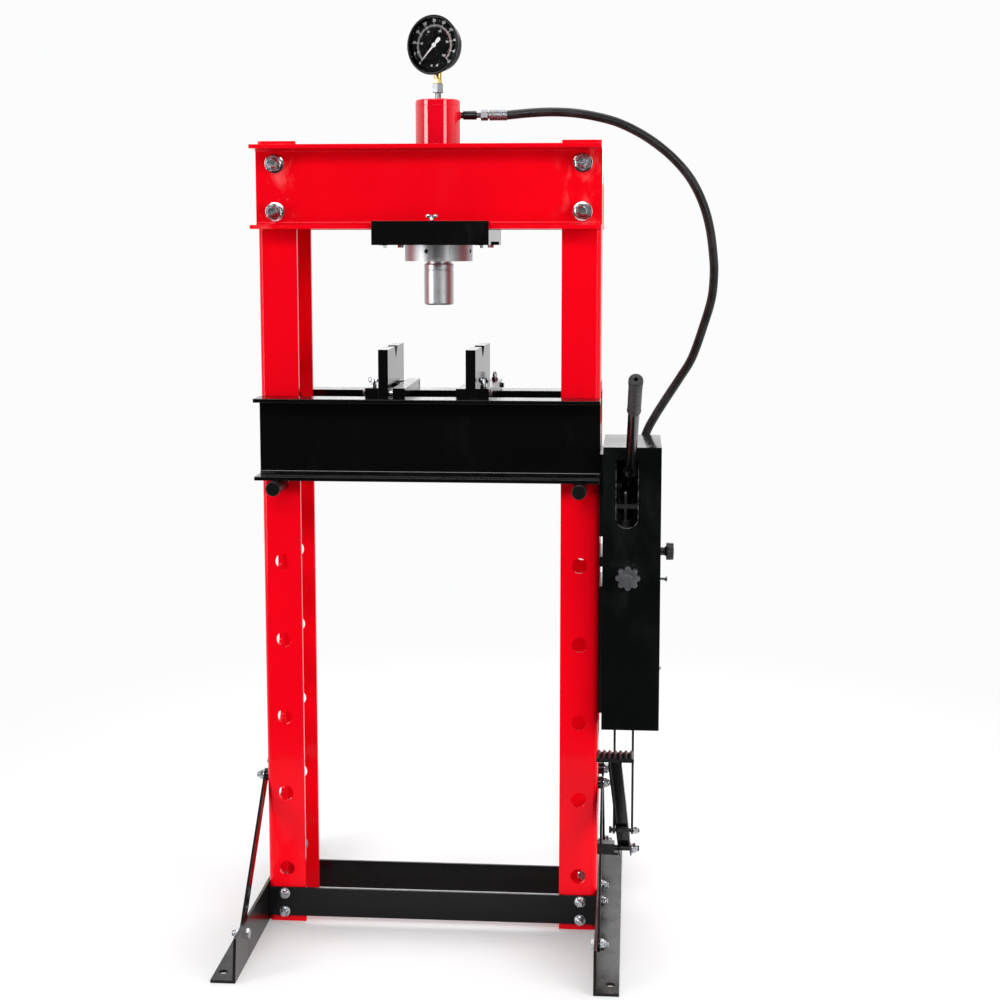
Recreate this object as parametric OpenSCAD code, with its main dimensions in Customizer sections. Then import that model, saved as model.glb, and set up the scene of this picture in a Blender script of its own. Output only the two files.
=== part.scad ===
// Hydraulic shop press: H-frame with a height-adjustable bed on pins, a sliding
// cylinder carriage with a pressure gauge, and a hand and foot pump in a side casing.
// Origin on the floor, midway between the four anchor holes. +X to the pump side,
// -Y to the front, +Z up. Millimetres.

/* [Frame] */
// Half the width over the uprights
half_w = 350; // [340:5:360]
// Depth of an upright, front to back
upright_d = 160; // [150:5:170]
// Width of an upright's front and rear faces
upright_w = 80; // [76:2:84]
// Height of the uprights
upright_h = 1645; // [1600:5:1700]
// Sheet thickness of the uprights
upright_t = 8; // [6:1:9]
// Height of the lowest bed-pin hole
hole_z0 = 116; // [114:1:118]
// Vertical distance between bed-pin holes
hole_pitch = 166; // [164:1:168]
// Diameter of a bed-pin hole
hole_d = 32; // [31:1:34]
// Underside of the head beams
head_z0 = 1468; // [1464:1:1470]
// Depth of a head or bed beam's section
beam_h = 167; // [164:1:168]
// Width of a beam's flanges
beam_flange = 70; // [66:1:72]
// Length of the feet, front to back
foot_l = 796; // [790:2:820]

/* [Cylinder] */
// Position of the cylinder along the head
cyl_x = 12; // [8:1:14]
// Outer diameter of the cylinder
cyl_d = 95; // [90:1:96]
// Top of the cylinder
cyl_top = 1731; // [1728:1:1736]
// Diameter of the ram's end cap
ram_cap_d = 61; // [56:1:62]
// Lower end of the ram
ram_z0 = 1313; // [1310:1:1320]
// Outer diameter of the gauge
gauge_d = 120; // [118:1:124]
// Direction the gauge is turned to, from the front towards the left
gauge_turn = 24; // [0:1:30]

/* [Pump] */
// Left face of the casing
casing_x0 = 357; // [356:1:358]
// Width of the casing
casing_w = 118; // [116:1:120]
// Underside of the casing
casing_z0 = 445; // [440:1:450]
// Top of the casing
casing_z1 = 1031; // [1028:1:1034]
// Rest angle of the hand lever above the horizontal
lever_angle = 32; // [30:1:33]
// Length of the hand lever from its fulcrum
lever_l = 480; // [460:5:500]
// Outer diameter of the hose
hose_d = 18.5; // [14:0.5:19]

/* [Hidden] */

$fn = 64;

red = "#c8001c";
black = "#141414";
zinc = "#c4c6c8";
steel = "#9aa0a6";
brass = "#c8a050";
rubber = "#1b1b1b";

// joining fits
gap = 0.2;
slip = 0.5;
run_fit = 0.05;
cut = 1;
bolt_clear = 1;
head_clear = 2;

// uprights
bend_r = 12;
yard = upright_d / 2;
hole_x = half_w - upright_w / 2;
hole_count = 7;
pin_level = 5;
window_half_y = 66;
window_half_z = 45;
window_r = 18;

// beams
beam_t = 8;
beam_fillet = 7;
beam_l = 2 * half_w + 2;
bed_slack = 1;
pin_d = 30;
pin_l = 332;
pin_z = hole_z0 + pin_level * hole_pitch - (hole_d - pin_d) / 2 + gap / 2;
pin_chamfer = 1.5;
bed_z0 = pin_z + pin_d / 2 + gap;
bed_z1 = bed_z0 + beam_h;
tie_x = 215;
tie_d = 60;
tie_t = 6;

// fasteners: [shank diameter, width across flats, head height, washer diameter, washer height]
M20 = [20, 30, 13, 39, 3];
M12 = [12, 19, 8, 24, 2.5];
M8 = [8, 13, 6, 16, 1.6];
M8_LOW = [8, 13, 5];
M6 = [6, 10, 5];
tip_chamfer = 1;
nut_collar = 2;
head_bolt_x = 312;
head_bolt_z = [head_z0 + 35, head_z0 + 132];
head_bolt_reach = 34;
frame_bolt_reach = 17;

// feet, braces and diagonals
brace_t = 6;
brace_inset = 1;
brace_z = [14, 76];
brace_bolt_x = 315;
brace_bolt_z = [24, 64];
foot_t = 6;
foot_w = 50;
foot_h = 85;
foot_bevel = 15;
foot_bolt_y = 45;
foot_bolt_z = 50;
anchor_x = 383;
anchor_y = 358;
anchor_d = 18;
diag_t = 5;
diag_w = 28;
diag_top = [50, 312];
diag_low = [300, 62];
diag_pad_d = 26;

// carriage
slide_half_x = 117;
hook_t = 7;
hook_in = 1;
hook_y = yard + beam_flange + hook_in;
hook_leg = 46;
lip_in = 33;
slide_z0 = head_z0 - 25;
slide_z1 = head_z0 - slip;
hook_z0 = slide_z0 - hook_t;
lip_z0 = head_z0 + beam_t + slip;
slide_bolt_x = 97;
slide_bolt_y = 130;
slide_bolt_reach = 14;
slide_hole_reach = 16;
ring_d = 140;
ring_z0 = 1403;
ring_hole_d = 9;
ring_hole_n = 4;
ring_hole_turn = -15;
ring_hole_lift = 4;
ring_hole_depth = 14;
clamp_y = -(hook_y - 12);
clamp_x = 2;
clamp_lift = 2;

// wing heads: [hub diameter and height, reach of each ear's centre, ear diameter]
WING = [9, 8, 10];
CLAMP_WING = [8, 7, 8];
wing_t = 4;
wing_web_z = 3;

// cylinder and ram
bore_d = 76;
gland_h = 22;
head_plate_h = 12;
head_chamfer = 2;
spring_boss_d = 12;
spring_boss_h = 20;
cap_floor = 10;
ram_floor = 20;
ram_d = 52;
ram_bore_d = 32;
piston_z = 1600;
piston_h = 30;
seal_h = 6;
seal_depth = 4;
ram_cap_h = 85;
cap_chamfer_low = 3;
cap_chamfer_top = 2;
cap_groove_z = 71;
cap_groove_h = 1.6;
cap_groove_depth = 1.2;
spring_d = 28;
spring_wire = 4;
spring_lift = 4;

// the cylinder's port, quick coupler and hose fitting
port_z = 1700;
port_neck_d = 13;
port_neck_l = 51;
coupler_d = 18;
coupler_l = 29;
coupler_round = 3;
port_l = port_neck_l + coupler_l;
fitting_neck_d = 12;
fitting_neck_l = 8;
fitting_af = 19;
fitting_nut_l = 15;
collar_d = 14;
collar_l = 3;
ferrule_d = 22;

// gauge
gauge_z = 1840;
stem_d = 13;
stem_h = 15;
coupling_af = 22;
coupling_h = 18;
adapter_af = 19;
adapter_hex_h = 9;
adapter_d = 17;
adapter_in = 2;
case_depth = 24;
case_step = 8;
case_r = gauge_d / 2 - case_step;
bezel_depth = 12;
bezel_back = 3;
bezel_lip = 4;
bezel_round = 1.5;
bezel_wall = 5;
dial_t = 1.2;
glass_t = 2;
front_y = 24;
needle_rest = 225;
needle_l = 44;
needle_tail = 18;
needle_t = 1;
needle_half = [4, 2.5, 0.5];
needle_lift = 2;
hub_d = 10;
hub_h = 2.5;
spindle_d = 4;
spindle_h = 5.2;

// V-block pair
v_half_y = 130;
v_t = 20;
v_h = 99;
v_left_x = -99;
v_left_yaw = 0.6;
v_right_x = 83.5;
v_right_yaw = -1.65;
v_notch = 25;
bar_h = 21.5;
// the work-side bars: [space between plate and bar, width of the bar]
left_bar = [10, 25];
right_bar = [0, 19];
bar_over = 5;
v_bolt_z = 11;
v_bolt_y = v_half_y - 12;
v_bolt_end = 2;
v_spacer_d = 16;
foot_bar_w = 27;
v_screw_y = 105;
v_screw_seat = 6;

// casing and pump
sheet = 2;
casing_y0 = -115;
casing_y1 = 118;
casing_x1 = casing_x0 + casing_w;
slot_x = 406;
slot_w = 44;
slot_z = [866, 1005];
// casing-to-upright joints: [y, z], and the packing strips behind them: [z, height]
mount_points = [[-60, 930], [60, 930], [-60, 600], [60, 600]];
mount_pads = [[842, 170], [470, 268], [779, 21]];
mount_half_y = 78;
mount_bolt_l = 9;
side_screw = [-60, 752];
side_screw_l = 10;
rivet_z = 574;
rivet_d = 9;
rivet_h = 4;
rivet_inset = 14;
hose_exit_z = 846;
hose_hole_d = 20;
elbow_size = 20;

// hand lever
lever_x = 410;
lever_y = -40;
lever_z = 941;
lever_lean = 1.3;
lever_d = 22;
lever_wall = 2.5;
lever_start = 40;
lever_end = 6;
socket_d = 30;
socket_l = 80;
socket_back = 14;
socket_bore_z = 38;
grip_d = 28;
grip_l = 128;
grip_cap = 5;
grip_hole_d = 8;
grip_rings = 6;
grip_ring_z = 12;
grip_ring_pitch = 9;
grip_ring_w = 2;
grip_ring_depth = 1;
fulcrum_d = 12;
fulcrum_l = 54;

// plunger, its crosshead and the pull rods
plunger_x = 403;
plunger_y = -68;
plunger_z = 930.5;
plunger_d = 14;
plunger_z0 = 815;
plunger_ball = 16;
crosshead_z = 900;
crosshead_h = 9;
crosshead_w = 14;
crosshead_over = 6;
rod_x = [384.5, 422.5];
rod_d = 5;
rod_over = 12;
rod_bolt_z = 216;
rod_eye_d = 16;
rod_bolt_gap = 2;
rod_bolt_l = 58;
rod_nut_gap = 1;

// pump body: a block with two cheeks that carry the lever's fulcrum
pump_x = [366, 446];
pump_y = [-100, 60];
pump_z = [745, 862];
gland_d = 26;
gland_l = 14;
cheek_x = [386, 427];
cheek_t = 7;
cheek_d = 24;
cheek_y = [-6, 20];
cheek_stop = [6, 14, 12];
plunger_bore = [790, 120];
rod_hole_d = 9;
rod_hole_l = 180;
tank_x = [367, 468];
tank_y = [-48, 110];
tank_z = [560, 745];
tank_t = 3;

// release knob at the front and valve knob at the side
spindle_rod_d = 10;
release_x = 409;
release_z = 768;
release_hole_d = 18;
release_in = 38;
release_rod_l = 70;
release_y = -132;
release_lobes = 8;
release_r = 20;
release_lobe_d = 10;
release_t = 18;
release_hub_d = 16;
release_hub_h = 6;
side_y = -60;
side_z = 810;
side_hole_d = 24;
side_in = 23;
side_rod_l = 50;
side_hub_d = 19;
side_hub_in = 6;
side_hub_h = 18;
side_knob_d = 36;
side_knob_h = 16;
side_flutes = 10;
side_flute_r = 19.5;
side_flute_d = 7;
valve_clear = 3;

// pedal
pivot_y = -30;
pivot_z = 163.5;
pedal_l = 300;
pedal_angle = atan2(rod_bolt_z - pivot_z, pivot_y - plunger_y);
pivot_block = [36, 24];
pivot_in = 6;
pivot_end = 17;
pivot_nut_gap = 1;
arm_tail = 16;
arm_slot_back = 7.5;
arm_slot = [28, 11];
arm_w = 27;
arm_d = 18;
arm_t = 3;
arm_foot_x = 407.5;
arm_lean = 4;
tread_x = 387;
tread_w = 76;
tread_d = 54;
tread_lift = 6.6;
tread_back = 2;
tread_t = 5;
tread_ridges = 7;
tread_top = 11;
tread_bolt_x = 22;
tread_bolt_shift = -4;

// hose route from the cylinder's fitting, over and down behind the casing
hose_route = [
    [155, 0, 1700], [200, 0, 1704], [245, 3, 1706], [290, 7, 1704], [335, 11, 1697], [380, 18, 1685],
    [425, 25, 1664], [465, 33, 1638], [500, 41, 1608], [532, 51, 1570], [557, 61, 1522],
    [573, 72, 1468], [582, 84, 1404], [583, 92, 1364], [579, 100, 1322], [565, 108, 1270],
    [541, 118, 1198], [515, 124, 1153], [488, 129, 1110], [466, 132, 1074], [448, 135, 1040],
    [437, 137, 1004], [432, 137, 960], [432, 137, 900]
];
hose_end = hose_route[len(hose_route) - 1];
hose_sides = 12;
hose_steps = 3;

// ---------- shared shapes ----------

// A rectangle with round corners, from its centre
module round_rect(w, h, r) {
    square([w - 2 * r, h], center = true);
    square([w, h - 2 * r], center = true);
    for (sx = [-1, 1], sy = [-1, 1])
        translate([sx * (w / 2 - r), sy * (h / 2 - r)]) circle(r);
}

// A slot with half-round ends, its length along X
module slot_outline(length, width) {
    square([length - width, width], center = true);
    for (s = [-1, 1]) translate([s * (length - width) / 2, 0]) circle(width / 2);
}

module hex(af, h) {
    cylinder(d = af / cos(30), h = h, $fn = 6);
}

// Points the +Z axis of its children along +X, -X, +Y or -Y
module along_x(s = 1) { rotate([0, s * 90, 0]) children(); }
module along_y(s = 1) { rotate([-s * 90, 0, 0]) children(); }

// A bolt whose head sits below z = 0 and whose shank rises to length
module bolt(m, length) {
    translate([0, 0, -m[2]]) hex(m[1], m[2]);
    cylinder(d = m[0], h = length - tip_chamfer);
    translate([0, 0, length - tip_chamfer])
        cylinder(d1 = m[0], d2 = m[0] - 2 * tip_chamfer, h = tip_chamfer);
}

module ring(d_out, d_in, h) {
    difference() {
        cylinder(d = d_out, h = h);
        translate([0, 0, -cut]) cylinder(d = d_in, h = h + 2 * cut);
    }
}

// A lock nut on a washer that stands on z = 0
module nut(m) {
    ring(m[3], m[0] + gap, m[4]);
    translate([0, 0, m[4]]) difference() {
        union() {
            hex(m[1], m[2] - nut_collar);
            cylinder(d = m[1] - nut_collar / 2, h = m[2] + nut_collar);
        }
        translate([0, 0, -cut]) cylinder(d = m[0] + gap, h = m[2] + nut_collar + 2 * cut);
    }
}

// ---------- frame ----------

module upright_profile() {
    difference() {
        translate([-half_w + upright_w, 0])
            difference() {
                round_rect(2 * upright_w, upright_d, bend_r);
                round_rect(2 * (upright_w - upright_t), upright_d - 2 * upright_t, bend_r - upright_t);
            }
        translate([-half_w + upright_w, -upright_d]) square([2 * upright_w, 2 * upright_d]);
    }
}

module upright() {
    color(red) difference() {
        linear_extrude(upright_h) upright_profile();
        for (i = [0 : hole_count - 1])
            translate([-hole_x, -upright_d, hole_z0 + i * hole_pitch])
                along_y() cylinder(d = hole_d, h = 2 * upright_d);
        for (z = head_bolt_z)
            translate([-head_bolt_x, -upright_d, z])
                along_y() cylinder(d = M20[0] + head_clear, h = 2 * upright_d);
        for (z = brace_bolt_z)
            translate([-brace_bolt_x, -upright_d, z])
                along_y() cylinder(d = M12[0] + bolt_clear, h = 2 * upright_d);
        for (i = [1 : hole_count - 1])
            translate([-half_w - cut, 0, hole_z0 + i * hole_pitch])
                along_x() linear_extrude(upright_t + 2 * cut)
                    round_rect(2 * window_half_z, 2 * window_half_y, window_r);
        for (s = [-1, 1]) {
            translate([-half_w - cut, s * foot_bolt_y, foot_bolt_z])
                along_x() cylinder(d = M12[0] + bolt_clear, h = upright_t + 2 * cut);
            translate([-half_w - cut, s * diag_top[0], diag_top[1]])
                along_x() cylinder(d = M12[0] + bolt_clear, h = upright_t + 2 * cut);
        }
    }
}

module upright_left() { upright(); }
module upright_right() { mirror([1, 0, 0]) upright(); }

// A channel with its web at y = 0 and its flanges towards -Y, from z = 0
module channel_profile() {
    difference() {
        translate([-beam_flange, 0]) square([beam_flange, beam_h]);
        translate([-beam_flange - cut, beam_t + beam_fillet])
            square([beam_flange - beam_t + cut, beam_h - 2 * (beam_t + beam_fillet)]);
        translate([-beam_flange - cut, beam_t])
            square([beam_flange - beam_t - beam_fillet + cut, beam_h - 2 * beam_t]);
        for (z = [beam_t + beam_fillet, beam_h - beam_t - beam_fillet])
            translate([-beam_t - beam_fillet, z]) circle(beam_fillet);
    }
}

module beam(z0) {
    translate([-beam_l / 2, 0, z0])
        rotate([90, 0, 90]) linear_extrude(beam_l) channel_profile();
}

module head_beam() {
    color(red) difference() {
        translate([0, -yard, 0]) beam(head_z0);
        for (s = [-1, 1], z = head_bolt_z)
            translate([s * head_bolt_x, -yard - beam_flange, z])
                along_y() cylinder(d = M20[0] + head_clear, h = beam_flange + cut);
    }
}

module head_beam_front() { head_beam(); }
module head_beam_rear() { mirror([0, 1, 0]) head_beam(); }

module at_head_bolts() {
    for (sx = [-1, 1], sy = [-1, 1], z = head_bolt_z)
        translate([sx * head_bolt_x, sy * (yard - upright_t), z]) along_y(sy) children();
}

module head_bolts() { color(zinc) at_head_bolts() bolt(M20, upright_t + beam_t + head_bolt_reach); }
module head_nuts() {
    color(zinc) at_head_bolts() translate([0, 0, upright_t + beam_t]) nut(M20);
}

module brace() {
    color(black) difference() {
        translate([-half_w + brace_inset, -yard - brace_t, brace_z[0]])
            cube([2 * (half_w - brace_inset), brace_t, brace_z[1] - brace_z[0]]);
        for (s = [-1, 1], z = brace_bolt_z)
            translate([s * brace_bolt_x, -yard - brace_t - cut, z])
                along_y() cylinder(d = M12[0] + bolt_clear, h = brace_t + 2 * cut);
    }
}

module brace_front() { brace(); }
module brace_rear() { mirror([0, 1, 0]) brace(); }

// The side face of a foot's upstand, with both ends bevelled
module foot_side() {
    polygon([
        [-foot_l / 2, 0], [foot_l / 2, 0],
        [foot_l / 2 - foot_bevel, foot_h], [-foot_l / 2 + foot_bevel, foot_h]
    ]);
}

module foot() {
    color(black) difference() {
        union() {
            translate([-half_w - foot_w, -foot_l / 2, 0]) cube([foot_w, foot_l, foot_t]);
            translate([-half_w - foot_t, 0, 0])
                rotate([90, 0, 90]) linear_extrude(foot_t) foot_side();
        }
        for (s = [-1, 1]) {
            translate([-anchor_x, s * anchor_y, -cut]) cylinder(d = anchor_d, h = foot_t + 2 * cut);
            translate([-half_w - foot_t - cut, s * foot_bolt_y, foot_bolt_z])
                along_x() cylinder(d = M12[0] + bolt_clear, h = foot_t + 2 * cut);
            translate([-half_w - foot_t - cut, s * diag_low[0], diag_low[1]])
                along_x() cylinder(d = M12[0] + bolt_clear, h = foot_t + 2 * cut);
        }
    }
}

module foot_left() { foot(); }
module foot_right() { mirror([1, 0, 0]) foot(); }

// One diagonal stay on the left rear, flat against the foot, with a raised pad at the top
module diagonal() {
    run = [diag_low[0] - diag_top[0], diag_low[1] - diag_top[1]];
    length = norm(run);
    x_out = half_w + foot_t + diag_t;
    difference() {
        union() {
            translate([-x_out, diag_top[0], diag_top[1]])
                rotate([atan2(run[1], run[0]), 0, 0]) translate([0, length / 2, 0])
                    rotate([90, 0, 90]) linear_extrude(diag_t) slot_outline(length + diag_w, diag_w);
            translate([-half_w - foot_t, diag_top[0], diag_top[1]])
                along_x() cylinder(d = diag_pad_d, h = foot_t);
        }
        for (p = [diag_top, diag_low])
            translate([-x_out - cut, p[0], p[1]])
                along_x() cylinder(d = M12[0] + bolt_clear, h = foot_t + diag_t + 2 * cut);
    }
}

module diagonals() {
    color(black)
        for (mx = [0, 1], my = [0, 1])
            mirror([mx, 0, 0]) mirror([0, my, 0]) diagonal();
}

// Places its children at every M12 joint, +Z outward from the inner face. $grip is the
// thickness that the bolt holds together.
module at_frame_bolts() {
    for (sx = [-1, 1], sy = [-1, 1]) {
        for (z = brace_bolt_z)
            translate([sx * brace_bolt_x, sy * (yard - upright_t), z])
                let ($grip = upright_t + brace_t) along_y(sy) children();
        translate([sx * (half_w - upright_t), sy * foot_bolt_y, foot_bolt_z])
            let ($grip = upright_t + foot_t) along_x(sx) children();
        translate([sx * (half_w - upright_t), sy * diag_top[0], diag_top[1]])
            let ($grip = upright_t + foot_t + diag_t) along_x(sx) children();
        translate([sx * half_w, sy * diag_low[0], diag_low[1]])
            let ($grip = foot_t + diag_t) along_x(sx) children();
    }
}

module frame_bolts() { color(zinc) at_frame_bolts() bolt(M12, $grip + frame_bolt_reach); }
module frame_nuts() {
    color(zinc) {
        at_frame_bolts() translate([0, 0, $grip]) nut(M12);
        translate([arm_foot_x + arm_w / 2 + pivot_nut_gap, pivot_y, pivot_z]) along_x() nut(M12);
    }
}

// ---------- bed ----------

module bed_beam() { color(black) translate([0, -yard - bed_slack, 0]) beam(bed_z0); }
module bed_beam_front() { bed_beam(); }
module bed_beam_rear() { mirror([0, 1, 0]) bed_beam(); }

module bed_ties() {
    span = 2 * (yard + bed_slack);
    color(black) for (s = [-1, 1])
        translate([s * tie_x, -span / 2, bed_z0 + beam_h / 2])
            along_y() ring(tie_d, tie_d - 2 * tie_t, span);
}

module bed_pin(x) {
    color(black) translate([x, -pin_l / 2, pin_z]) along_y() {
        cylinder(d1 = pin_d - 2 * pin_chamfer, d2 = pin_d, h = pin_chamfer);
        translate([0, 0, pin_chamfer]) cylinder(d = pin_d, h = pin_l - 2 * pin_chamfer);
        translate([0, 0, pin_l - pin_chamfer])
            cylinder(d1 = pin_d, d2 = pin_d - 2 * pin_chamfer, h = pin_chamfer);
    }
}

module bed_pin_left() { bed_pin(-hole_x); }
module bed_pin_right() { bed_pin(hole_x); }

// The V-block's own pieces, with the plate's outer face at x = 0 and the work side at +X

module v_bolt_holes(x0, length) {
    for (s = [-1, 1]) translate([x0, s * v_bolt_y, v_bolt_z])
        along_x() cylinder(d = M8[0] + bolt_clear, h = length);
}

module v_plate() {
    color(black) difference() {
        translate([0, -v_half_y, 0]) cube([v_t, 2 * v_half_y, v_h]);
        translate([-cut, 0, v_h]) rotate([90, 0, 90]) linear_extrude(v_t + 2 * cut)
            polygon([[-v_notch - cut, cut], [0, -v_notch], [v_notch + cut, cut]]);
        v_bolt_holes(-cut, v_t + 2 * cut);
    }
}

module v_bars(bar) {
    color(black) difference() {
        union() {
            translate([-foot_bar_w, -v_half_y, 0]) cube([foot_bar_w, 2 * v_half_y, bar_h]);
            translate([v_t + bar[0], -v_half_y - bar_over, 0])
                cube([bar[1], 2 * (v_half_y + bar_over), bar_h]);
        }
        v_bolt_holes(-foot_bar_w - cut, foot_bar_w + v_t + bar[0] + bar[1] + 2 * cut);
        for (s = [-1, 1]) translate([-foot_bar_w / 2, s * v_screw_y, v_screw_seat])
            cylinder(d = M8[0] + bolt_clear, h = bar_h);
    }
}

module v_screws(bar) {
    color(zinc) for (s = [-1, 1]) {
        translate([-foot_bar_w, s * v_bolt_y, v_bolt_z])
            along_x() bolt(M8_LOW, foot_bar_w + v_t + bar[0] + bar[1] - v_bolt_end);
        if (bar[0] > 0) translate([v_t, s * v_bolt_y, v_bolt_z])
            along_x() ring(v_spacer_d, M8[0] + gap, bar[0]);
        translate([-foot_bar_w / 2, s * v_screw_y, bar_h]) wing_screw(bar_h - v_screw_seat - bolt_clear);
    }
}

// A wing head that stands on z = 0: a hub, a web and two round ears
module wing_head(w) {
    cylinder(d = w[0], h = w[0]);
    for (s = [-1, 1]) translate([s * w[1], -wing_t / 2, w[0]]) along_y() cylinder(d = w[2], h = wing_t);
    translate([-w[1], -wing_t / 2, wing_web_z]) cube([2 * w[1], wing_t, w[0] - 1]);
}

// A wing screw with its seat at z = 0 and its shank down to -depth
module wing_screw(depth) {
    translate([0, 0, -depth]) cylinder(d = M8[0], h = depth + 1);
    hex(M8[1], M8[2]);
    translate([0, 0, M8[2]]) wing_head(WING);
}

module place_left() {
    translate([v_left_x, 0, bed_z1 + gap]) rotate([0, 0, v_left_yaw]) children();
}
module place_right() {
    translate([v_right_x + v_t, 0, bed_z1 + gap]) rotate([0, 0, v_right_yaw]) mirror([1, 0, 0]) children();
}

module v_plate_left() { place_left() v_plate(); }
module v_bars_left() { place_left() v_bars(left_bar); }
module v_screws_left() { place_left() v_screws(left_bar); }
module v_plate_right() { place_right() v_plate(); }
module v_bars_right() { place_right() v_bars(right_bar); }
module v_screws_right() { place_right() v_screws(right_bar); }

// ---------- carriage and cylinder ----------

module at_slide_bolts() {
    for (sx = [-1, 1], sy = [-1, 1])
        translate([cyl_x + sx * slide_bolt_x, sy * slide_bolt_y, hook_z0]) children();
}

module slide_plate() {
    color(black) difference() {
        translate([cyl_x - slide_half_x, -hook_y, slide_z0])
            cube([2 * slide_half_x, 2 * hook_y, slide_z1 - slide_z0]);
        translate([cyl_x, 0, slide_z0 - cut])
            cylinder(d = cyl_d + gap, h = slide_z1 - slide_z0 + 2 * cut);
        at_slide_bolts() cylinder(d = M8[0] + bolt_clear, h = hook_t + slide_hole_reach);
    }
}

// The front hook: a leg under the plate, an outer wall and a lip over the beam's flange
module slide_hook() {
    difference() {
        translate([cyl_x - slide_half_x, 0, 0]) {
            translate([0, -hook_y - hook_t, hook_z0]) cube([2 * slide_half_x, hook_t + hook_leg, hook_t]);
            translate([0, -hook_y - hook_t, hook_z0])
                cube([2 * slide_half_x, hook_t, lip_z0 + hook_t - hook_z0]);
            translate([0, -hook_y - hook_t, lip_z0]) cube([2 * slide_half_x, hook_t + lip_in, hook_t]);
        }
        at_slide_bolts() translate([0, 0, -cut]) cylinder(d = M8[0] + bolt_clear, h = hook_t + 2 * cut);
        translate([cyl_x + clamp_x, clamp_y, lip_z0 - cut])
            cylinder(d = M8[0] + 2 * run_fit, h = hook_t + 2 * cut);
    }
}

module slide_hooks() {
    color(black) {
        slide_hook();
        mirror([0, 1, 0]) slide_hook();
    }
}

module slide_bolts() { color(zinc) at_slide_bolts() bolt(M8, hook_t + slide_bolt_reach); }

module clamp_screw() {
    color(zinc) translate([cyl_x + clamp_x, clamp_y, lip_z0 - slip + gap]) {
        cylinder(d = M8[0], h = hook_t + clamp_lift);
        translate([0, 0, hook_t + clamp_lift]) wing_head(CLAMP_WING);
    }
}

module cylinder_tube() {
    color(red) translate([cyl_x, 0, ring_z0]) difference() {
        cylinder(d = cyl_d, h = cyl_top - head_plate_h - ring_z0);
        translate([0, 0, gland_h]) cylinder(d = bore_d, h = cyl_top);
        translate([0, 0, -cut]) cylinder(d = ram_d + 2 * run_fit, h = gland_h + 2 * cut);
    }
}

module cylinder_head() {
    color(red) translate([cyl_x, 0, cyl_top - head_plate_h]) {
        cylinder(d = cyl_d, h = head_plate_h - head_chamfer);
        translate([0, 0, head_plate_h - head_chamfer])
            cylinder(d1 = cyl_d, d2 = cyl_d - 2 * head_chamfer, h = head_chamfer);
        translate([0, 0, -spring_boss_h]) cylinder(d = spring_boss_d, h = spring_boss_h);
    }
}

module lock_ring() {
    ring_h = hook_z0 - ring_z0;
    color(steel) translate([cyl_x, 0, ring_z0]) difference() {
        cylinder(d = ring_d, h = ring_h);
        translate([0, 0, -cut]) cylinder(d = cyl_d + gap, h = ring_h + 2 * cut);
        for (i = [0 : ring_hole_n - 1])
            rotate([0, 0, i * 360 / ring_hole_n + ring_hole_turn])
                translate([0, -ring_d / 2 - cut, ring_h / 2 + ring_hole_lift])
                    along_y() cylinder(d = ring_hole_d, h = ring_hole_depth);
    }
}

// The neck starts inside the cylinder's wall and is cut back to its outside
module cylinder_port() {
    color(black) difference() {
        translate([cyl_x, 0, port_z]) along_x() {
            cylinder(d = port_neck_d, h = port_neck_l);
            translate([0, 0, port_neck_l]) {
                cylinder(d1 = coupler_d - coupler_round, d2 = coupler_d, h = coupler_round);
                translate([0, 0, coupler_round])
                    cylinder(d = coupler_d, h = coupler_l - 2 * coupler_round);
                translate([0, 0, coupler_l - coupler_round])
                    cylinder(d1 = coupler_d, d2 = coupler_d - coupler_round, h = coupler_round);
            }
        }
        translate([cyl_x, 0, port_z - port_neck_d]) cylinder(d = cyl_d + gap, h = 2 * port_neck_d);
    }
}

module hose_end_cylinder() {
    color(zinc) translate([cyl_x + port_l, 0, port_z]) along_x() {
        cylinder(d = fitting_neck_d, h = fitting_neck_l);
        translate([0, 0, fitting_neck_l]) hex(fitting_af, fitting_nut_l);
        translate([0, 0, fitting_neck_l + fitting_nut_l]) {
            cylinder(d = collar_d, h = collar_l);
            translate([0, 0, collar_l])
                cylinder(d = ferrule_d, h = hose_route[0][0] - cyl_x - port_l
                    - fitting_neck_l - fitting_nut_l - collar_l);
        }
    }
}

module ram() {
    color(steel) translate([cyl_x, 0, ram_z0 + cap_floor]) difference() {
        cylinder(d = ram_d, h = piston_z - ram_z0 - cap_floor);
        translate([0, 0, ram_floor]) cylinder(d = ram_bore_d, h = piston_z);
    }
}

module ram_piston() {
    seal_in = bore_d - 2 * seal_depth;
    color(steel) translate([cyl_x, 0, piston_z]) {
        difference() {
            cylinder(d = bore_d - 2 * run_fit, h = piston_h);
            translate([0, 0, -cut]) cylinder(d = ram_bore_d, h = piston_h + 2 * cut);
            translate([0, 0, (piston_h - seal_h) / 2]) ring(bore_d + 2 * cut, seal_in, seal_h);
        }
    }
    color(black) translate([cyl_x, 0, piston_z + (piston_h - seal_h) / 2])
        ring(bore_d - 2 * run_fit, seal_in + gap, seal_h);
}

module ram_cap() {
    color(steel) translate([cyl_x, 0, ram_z0]) difference() {
        union() {
            cylinder(d1 = ram_cap_d - 2 * cap_chamfer_low, d2 = ram_cap_d, h = cap_chamfer_low);
            translate([0, 0, cap_chamfer_low])
                cylinder(d = ram_cap_d, h = ram_cap_h - cap_chamfer_low - cap_chamfer_top);
            translate([0, 0, ram_cap_h - cap_chamfer_top])
                cylinder(d1 = ram_cap_d, d2 = ram_cap_d - 2 * cap_chamfer_top, h = cap_chamfer_top);
        }
        translate([0, 0, cap_floor]) cylinder(d = ram_d + gap, h = ram_cap_h);
        translate([0, 0, cap_groove_z])
            ring(ram_cap_d + 2 * cut, ram_cap_d - 2 * cap_groove_depth, cap_groove_h);
    }
}

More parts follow.
